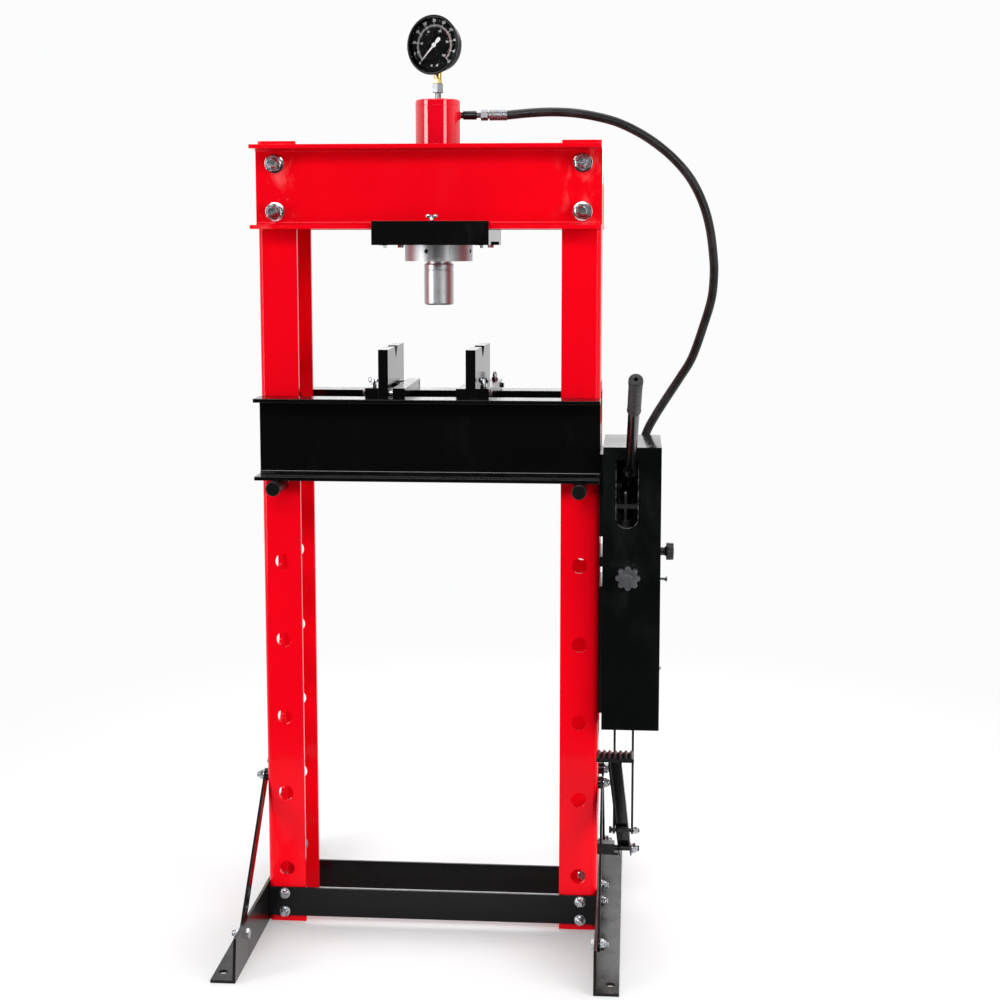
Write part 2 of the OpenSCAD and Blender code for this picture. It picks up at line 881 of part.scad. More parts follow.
module ram_spring() {
    top = cyl_top - head_plate_h - spring_boss_h;
    low = ram_z0 + cap_floor + ram_floor + spring_lift;
    color(steel) translate([cyl_x, 0, low])
        ring(spring_d, spring_d - 2 * spring_wire, top - low - gap);
}

// ---------- gauge ----------

module gauge_stem() {
    color(zinc) translate([cyl_x, 0, cyl_top]) {
        cylinder(d = stem_d, h = stem_h);
        translate([0, 0, stem_h]) hex(coupling_af, coupling_h);
    }
}

module gauge_adapter() {
    z0 = cyl_top + stem_h + coupling_h;
    color(brass) translate([cyl_x, 0, z0]) {
        hex(adapter_af, adapter_hex_h);
        translate([0, 0, adapter_hex_h])
            cylinder(d = adapter_d, h = gauge_z - case_r + adapter_in - z0 - adapter_hex_h);
    }
}

// Places its children at the gauge's centre, with +Z out of the dial
module at_gauge() {
    translate([cyl_x, 0, gauge_z]) rotate([0, 0, -gauge_turn]) rotate([90, 0, 0]) children();
}

module gauge_case() {
    lip_z = front_y - bezel_lip;
    color(black) difference() {
        at_gauge() difference() {
            union() {
                translate([0, 0, front_y - bezel_depth - case_depth]) cylinder(r = case_r, h = case_depth);
                translate([0, 0, front_y - bezel_depth])
                    cylinder(d = gauge_d - 2 * bezel_back, h = bezel_depth);
                translate([0, 0, lip_z]) cylinder(d = gauge_d, h = bezel_lip - bezel_round);
                translate([0, 0, front_y - bezel_round])
                    cylinder(d1 = gauge_d, d2 = gauge_d - 2 * bezel_round, h = bezel_round);
            }
            translate([0, 0, front_y - bezel_depth + 1])
                cylinder(d = gauge_d - 2 * bezel_wall, h = bezel_depth + cut);
        }
        translate([cyl_x, 0, gauge_z - gauge_d])
            cylinder(d = adapter_d + gap, h = gauge_d - case_r + adapter_in + gap);
    }
}

module gauge_dial() {
    color(black) at_gauge() difference() {
        translate([0, 0, front_y - bezel_depth + 1])
            cylinder(d = gauge_d - 2 * bezel_wall - slip, h = dial_t);
        cylinder(d = spindle_d + 2 * gap, h = gauge_d);
    }
}

module gauge_glass() {
    color("lightgrey", 0.3) at_gauge() translate([0, 0, front_y - glass_t - 1])
        cylinder(d = gauge_d - 2 * bezel_wall - slip, h = glass_t);
}

module gauge_needle() {
    tail = needle_half[0];
    mid = needle_half[1];
    tip = needle_half[2];
    color("white") at_gauge() {
        translate([0, 0, front_y - bezel_depth + 1]) cylinder(d = spindle_d, h = spindle_h);
        translate([0, 0, front_y - bezel_depth + dial_t + needle_lift]) {
            cylinder(d = hub_d, h = hub_h);
            rotate([0, 0, needle_rest]) linear_extrude(needle_t)
                polygon([
                    [-needle_tail, -tail], [0, -mid], [needle_l, -tip],
                    [needle_l, tip], [0, mid], [-needle_tail, tail]
                ]);
        }
    }
}

// ---------- casing and pump ----------

module casing() {
    color(black) difference() {
        translate([casing_x0, casing_y0, casing_z0])
            cube([casing_w, casing_y1 - casing_y0, casing_z1 - casing_z0]);
        translate([casing_x0 + sheet, casing_y0 + sheet, casing_z0 - cut])
            cube([
                casing_w - 2 * sheet, casing_y1 - casing_y0 - 2 * sheet,
                casing_z1 - casing_z0 - sheet + cut
            ]);
        translate([slot_x - slot_w / 2, casing_y0 - cut, slot_z[0] + slot_w / 2])
            cube([slot_w, sheet + 2 * cut, slot_z[1] - slot_z[0] - slot_w / 2]);
        translate([slot_x, casing_y0 - cut, slot_z[0] + slot_w / 2])
            along_y() cylinder(d = slot_w, h = sheet + 2 * cut);
        translate([release_x, casing_y0 - cut, release_z])
            along_y() cylinder(d = release_hole_d, h = sheet + 2 * cut);
        translate([casing_x1 - sheet - cut, side_y, side_z])
            along_x() cylinder(d = side_hole_d, h = sheet + 2 * cut);
        translate([hose_end[0], casing_y1 - sheet - cut, hose_exit_z])
            along_y() cylinder(d = hose_hole_d, h = sheet + 2 * cut);
        for (p = mount_points) translate([casing_x0 - cut, p[0], p[1]])
            along_x() cylinder(d = M8[0] + bolt_clear, h = sheet + 2 * cut);
    }
}

module casing_mounts() {
    space = casing_x0 - half_w;
    color(black) difference() {
        for (pad = mount_pads)
            translate([half_w, -mount_half_y, pad[0]]) cube([space, 2 * mount_half_y, pad[1]]);
        for (p = mount_points) translate([half_w - cut, p[0], p[1]])
            along_x() cylinder(d = M8[0] + bolt_clear, h = space + 2 * cut);
    }
}

module casing_screws() {
    color(zinc) {
        translate([casing_x1 + side_screw_l, side_screw[0], side_screw[1]])
            along_x(-1) bolt(M6, side_screw_l);
        for (y = [casing_y0 + rivet_inset, casing_y1 - rivet_inset])
            translate([casing_x1, y, rivet_z]) along_x() cylinder(d = rivet_d, h = rivet_h);
        for (p = mount_points)
            translate([casing_x0 + sheet, p[0], p[1]]) along_x(-1) bolt(M8, mount_bolt_l);
    }
}

module pump_body() {
    color(steel) difference() {
        union() {
            translate([pump_x[0], pump_y[0], pump_z[0]])
                cube([pump_x[1] - pump_x[0], pump_y[1] - pump_y[0], pump_z[1] - pump_z[0]]);
            translate([plunger_x, plunger_y, pump_z[1]]) cylinder(d = gland_d, h = gland_l);
            for (x = cheek_x)
                translate([x, lever_y, 0]) {
                    translate([0, cheek_y[0], pump_z[1]])
                        cube([cheek_t, cheek_y[1] - cheek_y[0], lever_z - pump_z[1]]);
                    translate([0, 0, lever_z]) along_x() cylinder(d = cheek_d, h = cheek_t);
                    translate([0, cheek_stop[0], lever_z - cheek_stop[2]])
                        cube([cheek_t, cheek_stop[1], cheek_stop[2]]);
                }
            translate([lever_x - fulcrum_l / 2, lever_y, lever_z])
                along_x() cylinder(d = fulcrum_d, h = fulcrum_l);
        }
        translate([plunger_x, plunger_y, plunger_bore[0]])
            cylinder(d = plunger_d + 2 * run_fit, h = plunger_bore[1]);
        for (x = rod_x) translate([x, plunger_y, pump_z[0] - cut]) cylinder(d = rod_hole_d, h = rod_hole_l);
        translate([release_x, pump_y[0] - cut, release_z])
            along_y() cylinder(d = spindle_rod_d + 2 * run_fit, h = release_in + valve_clear);
        translate([pump_x[1] + cut, side_y, side_z])
            along_x(-1) cylinder(d = spindle_rod_d + 2 * run_fit, h = side_in + valve_clear);
    }
}

module pump_tank() {
    size = [tank_x[1] - tank_x[0], tank_y[1] - tank_y[0], tank_z[1] - tank_z[0]];
    color(red) translate([tank_x[0], tank_y[0], tank_z[0]]) difference() {
        cube(size);
        translate([tank_t, tank_t, tank_t]) cube(size - 2 * [tank_t, tank_t, tank_t]);
    }
}

module release_knob() {
    color("dimgrey") translate([release_x, 0, release_z]) {
        translate([0, pump_y[0] + release_in, 0])
            along_y(-1) cylinder(d = spindle_rod_d, h = release_rod_l);
        translate([0, release_y, 0]) along_y(-1) {
            cylinder(r = release_r, h = release_t);
            for (i = [0 : release_lobes - 1]) rotate([0, 0, i * 360 / release_lobes])
                translate([release_r, 0, 0]) cylinder(d = release_lobe_d, h = release_t);
            translate([0, 0, -release_hub_h]) cylinder(d = release_hub_d, h = release_hub_h);
        }
    }
}

module side_knob() {
    color(black) translate([0, side_y, side_z]) along_x() {
        translate([0, 0, pump_x[1] - side_in]) cylinder(d = spindle_rod_d, h = side_rod_l);
        translate([0, 0, casing_x1 - side_hub_in]) cylinder(d = side_hub_d, h = side_hub_h);
        translate([0, 0, casing_x1 + side_hub_h - side_hub_in]) difference() {
            cylinder(d = side_knob_d, h = side_knob_h);
            for (i = [0 : side_flutes - 1]) rotate([0, 0, i * 360 / side_flutes])
                translate([side_flute_r, 0, -cut]) cylinder(d = side_flute_d, h = side_knob_h + 2 * cut);
        }
    }
}

// Points the +Z axis of its children along the hand lever, from the fulcrum
module along_lever() {
    translate([lever_x, lever_y, lever_z])
        rotate([90 - lever_angle, 0, 0]) rotate([0, lever_lean, 0]) children();
}

module lever_socket() {
    color(black) difference() {
        along_lever() translate([0, 0, -socket_back]) cylinder(d = socket_d, h = socket_l + socket_back);
        along_lever() translate([0, 0, socket_bore_z]) cylinder(d = lever_d + 2 * run_fit, h = socket_l);
        translate([lever_x - socket_d, lever_y, lever_z])
            along_x() cylinder(d = fulcrum_d + 2 * run_fit, h = 2 * socket_d);
    }
}

module lever_tube() {
    color(black) along_lever() translate([0, 0, lever_start])
        ring(lever_d, lever_d - 2 * lever_wall, lever_l - lever_start - lever_end);
}

module lever_grip() {
    color(rubber) along_lever() translate([0, 0, lever_l - grip_l]) difference() {
        cylinder(d = grip_d, h = grip_l);
        translate([0, 0, -cut]) cylinder(d = lever_d + gap, h = grip_l - grip_cap + cut);
        cylinder(d = grip_hole_d, h = grip_l + cut);
        for (i = [0 : grip_rings - 1]) translate([0, 0, grip_ring_z + i * grip_ring_pitch])
            ring(grip_d + 2 * cut, grip_d - 2 * grip_ring_depth, grip_ring_w);
    }
}

module plunger() {
    color(steel) translate([plunger_x, plunger_y, 0]) {
        translate([0, 0, plunger_z]) sphere(d = plunger_ball);
        translate([0, 0, plunger_z0]) cylinder(d = plunger_d, h = plunger_z - plunger_z0);
        difference() {
            translate([rod_x[0] - plunger_x - crosshead_over, -crosshead_w / 2, crosshead_z])
                cube([rod_x[1] - rod_x[0] + 2 * crosshead_over, crosshead_w, crosshead_h]);
            for (x = rod_x) translate([x - plunger_x, 0, crosshead_z - cut])
                cylinder(d = rod_d + gap, h = crosshead_h + 2 * cut);
        }
    }
}

module pull_rods() {
    color(black) for (x = rod_x) {
        difference() {
            union() {
                translate([x, plunger_y, rod_bolt_z])
                    cylinder(d = rod_d, h = crosshead_z + rod_over - rod_bolt_z);
                translate([x - rod_d / 2, plunger_y, rod_bolt_z])
                    along_x() cylinder(d = rod_eye_d, h = rod_d);
            }
            translate([x - rod_d, plunger_y, rod_bolt_z])
                along_x() cylinder(d = M8[0] + gap, h = 2 * rod_d);
        }
    }
    color(zinc) {
        translate([rod_x[0] - rod_d / 2 - rod_bolt_gap, plunger_y, rod_bolt_z])
            along_x() bolt(M8, rod_bolt_l);
        translate([rod_x[1] + rod_d / 2 + rod_nut_gap, plunger_y, rod_bolt_z]) along_x() nut(M8);
    }
}

// Points the +Z axis of its children along the pedal's arm, from its pivot
module along_pedal() {
    translate([0, pivot_y, pivot_z]) rotate([90 - pedal_angle, 0, 0]) children();
}

module pedal_bracket() {
    pin_end = arm_foot_x + arm_w / 2 + pivot_end;
    pin_start = half_w + pivot_block[0] - pivot_in;
    color(black) {
        translate([half_w, pivot_y - pivot_block[1] / 2, pivot_z - pivot_block[1] / 2])
            cube([pivot_block[0], pivot_block[1], pivot_block[1]]);
        translate([pin_start, pivot_y, pivot_z])
            along_x() cylinder(d = M12[0], h = pin_end - pin_start);
    }
}

module pedal_arm() {
    slot_mid = norm([rod_bolt_z - pivot_z, pivot_y - plunger_y]) - arm_slot_back;
    color(black) difference() {
        along_pedal() translate([arm_foot_x, 0, 0]) rotate([0, -arm_lean, 0])
            difference() {
                translate([-arm_w / 2, -arm_d / 2, -arm_tail]) cube([arm_w, arm_d, pedal_l + arm_tail]);
                translate([-arm_w / 2 + arm_t, -arm_d / 2 - cut, -arm_tail - cut])
                    cube([arm_w - 2 * arm_t, arm_d - arm_t + cut, pedal_l + arm_tail + 2 * cut]);
            }
        along_pedal() along_x() cylinder(d = M12[0] + 2 * run_fit, h = 2 * half_w);
        along_pedal() translate([half_w, 0, slot_mid]) rotate([0, 90, 0])
            linear_extrude(half_w) slot_outline(arm_slot[0], arm_slot[1]);
    }
}

module pedal_tread() {
    pitch = tread_w / tread_ridges;
    top_y = pivot_y - pedal_l * cos(pedal_angle);
    top_z = pivot_z + pedal_l * sin(pedal_angle);
    color(black) translate([tread_x, top_y - tread_back, top_z + tread_lift]) {
        translate([0, tread_d / 2, 0]) rotate([90, 0, 0]) linear_extrude(tread_d)
            polygon(concat(
                [[-tread_w / 2, 0], [tread_w / 2, 0]],
                [for (i = [tread_ridges - 1 : -1 : 0]) each [
                    [-tread_w / 2 + (i + 1) * pitch, tread_t],
                    [-tread_w / 2 + (i + 0.5) * pitch, tread_top]]],
                [[-tread_w / 2, tread_t]]));
        for (s = [-1, 1]) translate([s * tread_bolt_x + tread_bolt_shift, 0, 0])
            mirror([0, 0, 1]) hex(M8[1], M8[2]);
    }
}

module hose_end_pump() {
    half = elbow_size / 2;
    color(zinc) {
        translate([hose_end[0], hose_end[1], hose_exit_z + half])
            cylinder(d = ferrule_d, h = hose_end[2] - hose_exit_z - half);
        translate([hose_end[0] - half, hose_end[1] - half, hose_exit_z - half]) cube(elbow_size);
        translate([hose_end[0], hose_end[1] - half, hose_exit_z])
            along_y(-1) cylinder(d = collar_d, h = hose_end[1] - half - pump_y[1]);
    }
}

// ---------- hose sweep ----------

// Catmull-Rom point and direction between points 1 and 2 of four
function spline(a, b, c, d, t) =
    0.5 * (2 * b + (c - a) * t + (2 * a - 5 * b + 4 * c - d) * t * t + (3 * b - a - 3 * c + d) * t * t * t);
function slope(a, b, c, d, t) =
    0.5 * ((c - a) + 2 * (2 * a - 5 * b + 4 * c - d) * t + 3 * (3 * b - a - 3 * c + d) * t * t);
function pick(p, i) = i < 0 ? 2 * p[0] - p[1] : i >= len(p) ? 2 * p[len(p) - 1] - p[len(p) - 2] : p[i];
function stations(p, steps) = [
    for (i = [0 : len(p) - 2], k = [0 : steps - (i == len(p) - 2 ? 0 : 1)])
        let (t = k / steps, q = [for (j = [-1 : 2]) pick(p, i + j)])
            [spline(q[0], q[1], q[2], q[3], t), slope(q[0], q[1], q[2], q[3], t)]
];
function unit(v) = v / norm(v);

// A round tube along the route: its rings stay square to the path
module tube(route, r, sides, steps) {
    s = stations(route, steps);
    rings = len(s);
    points = [
        for (i = [0 : rings - 1])
            let (
                dir = i == 0 ? [1, 0, 0] : i == rings - 1 ? [0, 0, -1] : unit(s[i][1]),
                side = unit(cross(dir, [0, 1, 0])),
                up = cross(side, dir)
            )
            for (k = [0 : sides - 1])
                s[i][0] + r * (cos(k * 360 / sides) * side + sin(k * 360 / sides) * up)
    ];
    faces = concat(
        [[for (k = [sides - 1 : -1 : 0]) k]],
        [for (i = [0 : rings - 2], k = [0 : sides - 1])
            let (a = i * sides + k, b = i * sides + (k + 1) % sides)
                [a, b, b + sides, a + sides]],
        [[for (k = [0 : sides - 1]) (rings - 1) * sides + k]]
    );
    polyhedron(points, faces, convexity = 6);
}

module hose() { color(rubber) tube(hose_route, hose_d / 2, hose_sides, hose_steps); }

// ---------- output ----------

upright_left();
upright_right();
head_beam_front();
head_beam_rear();
head_bolts();
head_nuts();
brace_front();
brace_rear();
foot_left();
foot_right();
diagonals();
frame_bolts();
frame_nuts();
casing();
casing_mounts();
casing_screws();
pump_body();
pump_tank();
pedal_bracket();
hose();
hose_end_pump();
slide_plate();
slide_hooks();
slide_bolts();
cylinder_tube();
cylinder_head();
lock_ring();
cylinder_port();
hose_end_cylinder();
gauge_stem();
gauge_adapter();
gauge_case();
gauge_dial();
gauge_glass();
gauge_needle();
clamp_screw();
ram();
ram_piston();
ram_cap();
ram_spring();
bed_beam_front();
bed_beam_rear();
bed_ties();
bed_pin_left();
bed_pin_right();
v_plate_left();
v_bars_left();
v_screws_left();
v_plate_right();
v_bars_right();
v_screws_right();
lever_socket();
lever_tube();
lever_grip();
plunger();
pull_rods();
pedal_arm();
pedal_tread();
release_knob();
side_knob();
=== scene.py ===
import math
from collections import namedtuple

import bmesh
import bpy
import numpy as np
from mathutils import Matrix, Vector


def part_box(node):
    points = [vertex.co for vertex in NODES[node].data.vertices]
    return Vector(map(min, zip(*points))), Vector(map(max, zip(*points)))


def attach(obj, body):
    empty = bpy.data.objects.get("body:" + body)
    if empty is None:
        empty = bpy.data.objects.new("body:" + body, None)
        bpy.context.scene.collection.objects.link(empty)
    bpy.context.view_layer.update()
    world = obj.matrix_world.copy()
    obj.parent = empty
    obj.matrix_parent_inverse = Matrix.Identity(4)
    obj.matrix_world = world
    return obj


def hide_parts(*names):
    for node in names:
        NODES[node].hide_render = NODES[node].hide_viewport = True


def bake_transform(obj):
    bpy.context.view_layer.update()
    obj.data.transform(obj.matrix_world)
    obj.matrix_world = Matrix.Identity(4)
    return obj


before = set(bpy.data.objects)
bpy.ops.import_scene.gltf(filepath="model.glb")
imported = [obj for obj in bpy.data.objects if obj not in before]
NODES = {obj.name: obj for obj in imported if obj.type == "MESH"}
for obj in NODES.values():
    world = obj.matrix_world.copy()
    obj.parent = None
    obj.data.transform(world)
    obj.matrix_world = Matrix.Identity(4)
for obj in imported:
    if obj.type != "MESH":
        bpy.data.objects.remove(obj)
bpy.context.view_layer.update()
MM = 0.001
TAU = 2 * math.pi


# ---- camera

def make_camera():
    cam = bpy.data.cameras.new("camera")
    cam.lens, cam.sensor_width = 61.2, 36.0
    cam.shift_x, cam.shift_y = 0.0, -0.05
    cam.clip_start, cam.clip_end = 0.1, 200
    cam.dof.use_dof = False
    ob = bpy.data.objects.new("camera", cam)
    ob.location = (0.41475, -3.5266, 1.43955)
    ob.rotation_euler = (math.pi / 2 - 0.121, 0, 0.078)
    bpy.context.scene.collection.objects.link(ob)
    bpy.context.scene.camera = ob


make_camera()


# ---- node materials

class Mat:
    """A small writer of node trees: each call adds one node and returns its output."""

    def __init__(self, name):
        self.m = bpy.data.materials.new(name)
        self.m.use_nodes = True
        self.t = self.m.node_tree
        self.t.nodes.clear()
        self.out = self.t.nodes.new("ShaderNodeOutputMaterial")
        self.bsdf = self.t.nodes.new("ShaderNodeBsdfPrincipled")
        self.t.links.new(self.bsdf.outputs[0], self.out.inputs[0])
        self.coord = self.t.nodes.new("ShaderNodeTexCoord").outputs["Object"]
        self.geo = self.t.nodes.new("ShaderNodeNewGeometry")

    def link(self, a, b):
        if hasattr(a, "is_output"):
            self.t.links.new(a, b)
        else:
            b.default_value = a

    def set(self, **values):
        for key, value in values.items():
            self.link(value, self.bsdf.inputs[key.replace("_", " ")])
        return self

    def scaled(self, scale):
        n = self.t.nodes.new("ShaderNodeMapping")
        n.inputs["Scale"].default_value = scale
        self.link(self.coord, n.inputs["Vector"])
        return n.outputs[0]

    def noise(self, scale, detail=4.0, rough=0.55, vector=None, distortion=0.0):
        n = self.t.nodes.new("ShaderNodeTexNoise")
        self.link(vector or self.coord, n.inputs["Vector"])
        n.inputs["Scale"].default_value = scale
        n.inputs["Detail"].default_value = detail
        n.inputs["Roughness"].default_value = rough
        n.inputs["Distortion"].default_value = distortion
        return n.outputs["Fac"]

    def voronoi(self, scale):
        n = self.t.nodes.new("ShaderNodeTexVoronoi")
        self.link(self.coord, n.inputs["Vector"])
        n.inputs["Scale"].default_value = scale
        return n.outputs["Distance"]

    def range(self, value, a, b, c=0.0, d=1.0):
        n = self.t.nodes.new("ShaderNodeMapRange")
        n.interpolation_type = "SMOOTHSTEP"
        self.link(value, n.inputs["Value"])
        for key, v in (("From Min", a), ("From Max", b), ("To Min", c), ("To Max", d)):
            n.inputs[key].default_value = v
        return n.outputs[0]

    def math(self, op, a, b=0.0):
        n = self.t.nodes.new("ShaderNodeMath")
        n.operation = op
        self.link(a, n.inputs[0])
        self.link(b, n.inputs[1])
        return n.outputs[0]

    def add(self, a, b):
        return self.math("ADD", a, b)

    def minus(self, a, b):
        return self.math("SUBTRACT", a, b)

    def times(self, a, *factors):
        for b in factors:
            a = self.math("MULTIPLY", a, b)
        return a

    def length(self, a, b):
        return self.math("SQRT", self.add(self.times(a, a), self.times(b, b)))

    def mix(self, fac, a, b):
        n = self.t.nodes.new("ShaderNodeMix")
        n.data_type = "RGBA"
        self.link(fac, n.inputs[0])
        self.link((*a, 1) if isinstance(a, tuple) else a, n.inputs[6])
        self.link((*b, 1) if isinstance(b, tuple) else b, n.inputs[7])
        return n.outputs[2]

    def split(self, vector):
        n = self.t.nodes.new("ShaderNodeSeparateXYZ")
        self.link(vector, n.inputs[0])
        return n.outputs

    def bump(self, height, distance, strength):
        n = self.t.nodes.new("ShaderNodeBump")
        self.link(height, n.inputs["Height"])
        n.inputs["Distance"].default_value = distance
        n.inputs["Strength"].default_value = strength
        return n.outputs[0]


# Layers of wear, and one painted highlight: each takes a paint's colour and roughness and returns them with
# the wear added; the painted highlight takes and returns the colour only.
DUST, GRIME = (0.42, 0.39, 0.36), (0.30, 0.33, 0.34)


def chipped(m, colour, roughness, worn, amount):
    """Small specks of paint gone, in patches."""
    speck = m.range(m.noise(160.0, 5.0, 0.75), 0.70, 0.74)
    patch = m.range(m.noise(14.0, 3.0), 0.60, 0.70)
    mask = m.times(speck, patch, amount)
    return m.mix(mask, colour, worn), m.add(roughness, m.times(mask, 0.3))


def dusty(m, colour, roughness, amount):
    """Dust on what faces up."""
    upward = m.range(m.split(m.geo.outputs["Normal"])[2], 0.5, 0.95)
    settled = m.range(m.noise(22.0, 6.0, 0.7), 0.35, 0.75)
    mask = m.times(upward, settled, amount)
    return m.mix(mask, colour, DUST), m.add(roughness, m.times(mask, 0.4))


def scuffed(m, colour, roughness, worn, places):
    """Haze and scratches round places, each (x from the middle, z, inner radius, outer radius)."""
    x, _, z = m.split(m.coord)
    near = None
    for at_x, at_z, inner, outer in places:
        away = m.length(m.minus(m.math("ABSOLUTE", x), at_x), m.minus(z, at_z))
        ring = m.range(away, inner, outer, 1.0, 0.0)
        near = ring if near is None else m.math("MAXIMUM", near, ring)
    haze = m.range(m.noise(26.0, 5.0, 0.6, m.scaled((1.0, 1.0, 0.6)), 0.6), 0.50, 0.74)
    scratch = m.range(m.noise(150.0, 4.0, 0.7, m.scaled((0.35, 1.0, 1.4)), 1.0), 0.66, 0.72)
    mask = m.times(near, m.add(m.times(haze, 0.22), m.times(scratch, 0.5)))
    return m.mix(mask, colour, worn), m.add(roughness, m.times(mask, 0.35))


def wiped(m, colour, roughness, amount):
    """A wiped film of grime with streaks in it."""
    film = m.range(m.noise(7.0, 5.0, 0.62, m.scaled((1.0, 1.0, 0.6)), 0.8), 0.44, 0.72)
    streak = m.range(m.noise(60.0, 5.0, 0.7, m.scaled((0.5, 0.5, 1.0)), 1.5), 0.66, 0.74)
    thick = m.add(film, m.times(streak, film, 2.5))
    return m.mix(m.times(thick, amount), colour, GRIME), m.add(roughness, m.times(film, 0.05))


def painted_edge_highlight(m, colour, worn, slot):
    """A painted highlight along the edge of a slot, where its rounded cut edge would catch the light, in the
    worn colour and broken into patches: its middle x, its round end's z, its half width, its top.
    """
    mid_x, end_z, half_w, top_z = slot
    x, _, z = m.split(m.coord)
    below_end = m.math("MINIMUM", m.minus(z, end_z), 0.0)
    from_edge = m.math("ABSOLUTE", m.minus(m.length(m.minus(x, mid_x), below_end), half_w))
    rim = m.range(from_edge, 0.0007, 0.0015, 1.0, 0.0)
    under_top = m.range(z, top_z, top_z + 0.01, 1.0, 0.0)
    highlight_patches = m.range(m.noise(70.0, 4.0, 0.7), 0.44, 0.62)
    return m.mix(m.times(rim, under_top, m.times(highlight_patches, 0.55)), colour, worn)


def paint(name, base, deep, worn, coat, rough, peel=1.0, dust=0.0, chips=0.0, scuff_at=None,
          shine=(1, 1, 1), gleam=0.5, haze_by=0.0, edge=None, lacquer=1.5):
    """Glossy sprayed paint: orange peel, soft variation, the layers of wear that are asked for and, if asked,
    a painted highlight along a slot's edge.
    """
    m = Mat(name)
    cloudy = m.range(m.noise(3.0, 3.0), 0.35, 0.7)
    colour = m.mix(m.times(cloudy, 0.35), base, deep)
    smear = m.range(m.noise(9.0, 6.0, 0.7, m.scaled((1.0, 1.0, 0.35))), 0.52, 0.72)
    roughness = m.add(m.times(smear, rough * 0.9), rough)
    if chips:
        colour, roughness = chipped(m, colour, roughness, worn, chips)
    if dust:
        colour, roughness = dusty(m, colour, roughness, dust)
    if scuff_at:
        colour, roughness = scuffed(m, colour, roughness, worn, scuff_at)
    if haze_by:
        colour, roughness = wiped(m, colour, roughness, haze_by)
    # edge: a painted highlight in the worn colour along a slot's cut edge
    if edge:
        colour = painted_edge_highlight(m, colour, worn, edge)
    height = m.add(m.times(m.noise(420.0, 2.0, 0.4), 0.5), m.noise(95.0, 2.0, 0.4))
    m.set(Base_Color=colour, Roughness=roughness, Normal=m.bump(height, 0.00022 * peel, 0.45),
          Coat_Weight=coat, Coat_Roughness=0.06, Coat_IOR=lacquer,
          Specular_Tint=(*shine, 1), Specular_IOR_Level=gleam, IOR=1.5)
    return m.m


def zinc(name, tint, rough):
    """Bright zinc plate: cloudy crystals and a slight blue passivation."""
    m = Mat(name)
    cloud = m.noise(240.0, 5.0, 0.65)
    blotch = m.range(m.noise(55.0, 3.0), 0.35, 0.7)
    colour = m.mix(m.times(blotch, 0.5), tint, (0.34, 0.38, 0.44))
    colour = m.mix(m.range(m.voronoi(900.0), 0.0, 0.5, 0.16, 0.0), colour, (0.20, 0.20, 0.20))
    m.set(Base_Color=colour, Roughness=m.range(cloud, 0.3, 0.7, *rough),
          Normal=m.bump(cloud, 0.00010, 0.30), Metallic=1.0)
    return m.m


def turned(name, base, dark=(0.26, 0.26, 0.27), rough=(0.22, 0.36)):
    """Bright turned steel: fine tool lines round the axis, stains and a few rubbed streaks."""
    m = Mat(name)
    line = m.noise(1.0, 3.0, 0.6, m.scaled((6.0, 6.0, 9000.0)))
    stain = m.range(m.noise(38.0, 5.0, 0.65, m.scaled((1.0, 1.0, 0.5))), 0.56, 0.74)
    streak = m.range(m.noise(30.0, 4.0, 0.6, m.scaled((3.0, 3.0, 0.12))), 0.45, 0.75)
    m.set(Base_Color=m.mix(m.times(stain, 0.45), base, dark),
          Roughness=m.add(m.range(streak, 0.0, 1.0, *rough), m.times(line, 0.06)),
          Normal=m.bump(line, 0.00006, 0.5), Metallic=1.0)
    return m.m


# the hose's wrapping: the lay's pitch, the weave's pitch along the hose and its turns round it
WRAP_LAY, WRAP_WEAVE, WRAP_TURNS = 0.0042, 0.0017, 9


def rubber(name, base, rough, grain=1.0, wrapped=False):
    """Matt rubber with paler rubbed patches; wrapped has a cloth's lay and weave round it."""
    m = Mat(name)
    height = fine = m.noise(700.0, 4.0, 0.6)
    patch = m.range(m.noise(18.0, 4.0, 0.6), 0.4, 0.7)
    paler = tuple(min(1.0, c * 1.9 + 0.006) for c in base)
    if wrapped:
        u, v, _ = m.split(m.t.nodes.new("ShaderNodeTexCoord").outputs["UV"])
        lay = m.math("SINE", m.add(m.times(u, TAU / WRAP_LAY), m.times(v, TAU)))
        weave = m.math("SINE", m.minus(m.times(u, TAU / WRAP_WEAVE), m.times(v, TAU * WRAP_TURNS)))
        height = m.add(m.times(fine, 0.8), m.add(m.times(lay, 0.25), m.times(weave, 0.12)))
    m.set(Base_Color=m.mix(patch, base, paler), Roughness=m.range(patch, 0, 1, rough, rough + 0.14),
          Normal=m.bump(height, 0.0003 * grain, 0.5), Specular_IOR_Level=0.45)
    return m.m


def plastic(name, base, rough):
    """Moulded plastic with a fine spark-eroded grain."""
    m = Mat(name)
    grain = m.voronoi(1500.0)
    patch = m.range(m.noise(60.0, 4.0), 0.4, 0.7)
    m.set(Base_Color=m.mix(patch, base, tuple(c * 1.35 for c in base)),
          Roughness=m.range(patch, 0, 1, rough, rough + 0.12), Normal=m.bump(grain, 0.00015, 0.4))
    return m.m


def cast(name, base, rough):
    """A painted iron casting with a lumpy skin."""
    m = Mat(name)
    lumps = m.noise(260.0, 6.0, 0.7)
    patch = m.range(m.noise(40.0, 4.0), 0.4, 0.7)
    m.set(Base_Color=m.mix(patch, base, tuple(c * 1.7 for c in base)),
          Roughness=m.range(lumps, 0.3, 0.7, rough, rough + 0.2),
          Normal=m.bump(lumps, 0.0008, 0.6), Metallic=0.35)
    return m.m


def yellow_brass(name):
    """Brass with a brown tarnish."""
    m = Mat(name)
    cloud = m.noise(180.0, 5.0, 0.6)
    tarnish = m.range(m.noise(70.0, 4.0), 0.45, 0.75)
    m.set(Base_Color=m.mix(m.times(tarnish, 0.5), (0.80, 0.58, 0.24), (0.45, 0.30, 0.12)),
          Roughness=m.range(cloud, 0.3, 0.7, 0.18, 0.34), Normal=m.bump(cloud, 0.0001, 0.3),
          Metallic=1.0)
    return m.m


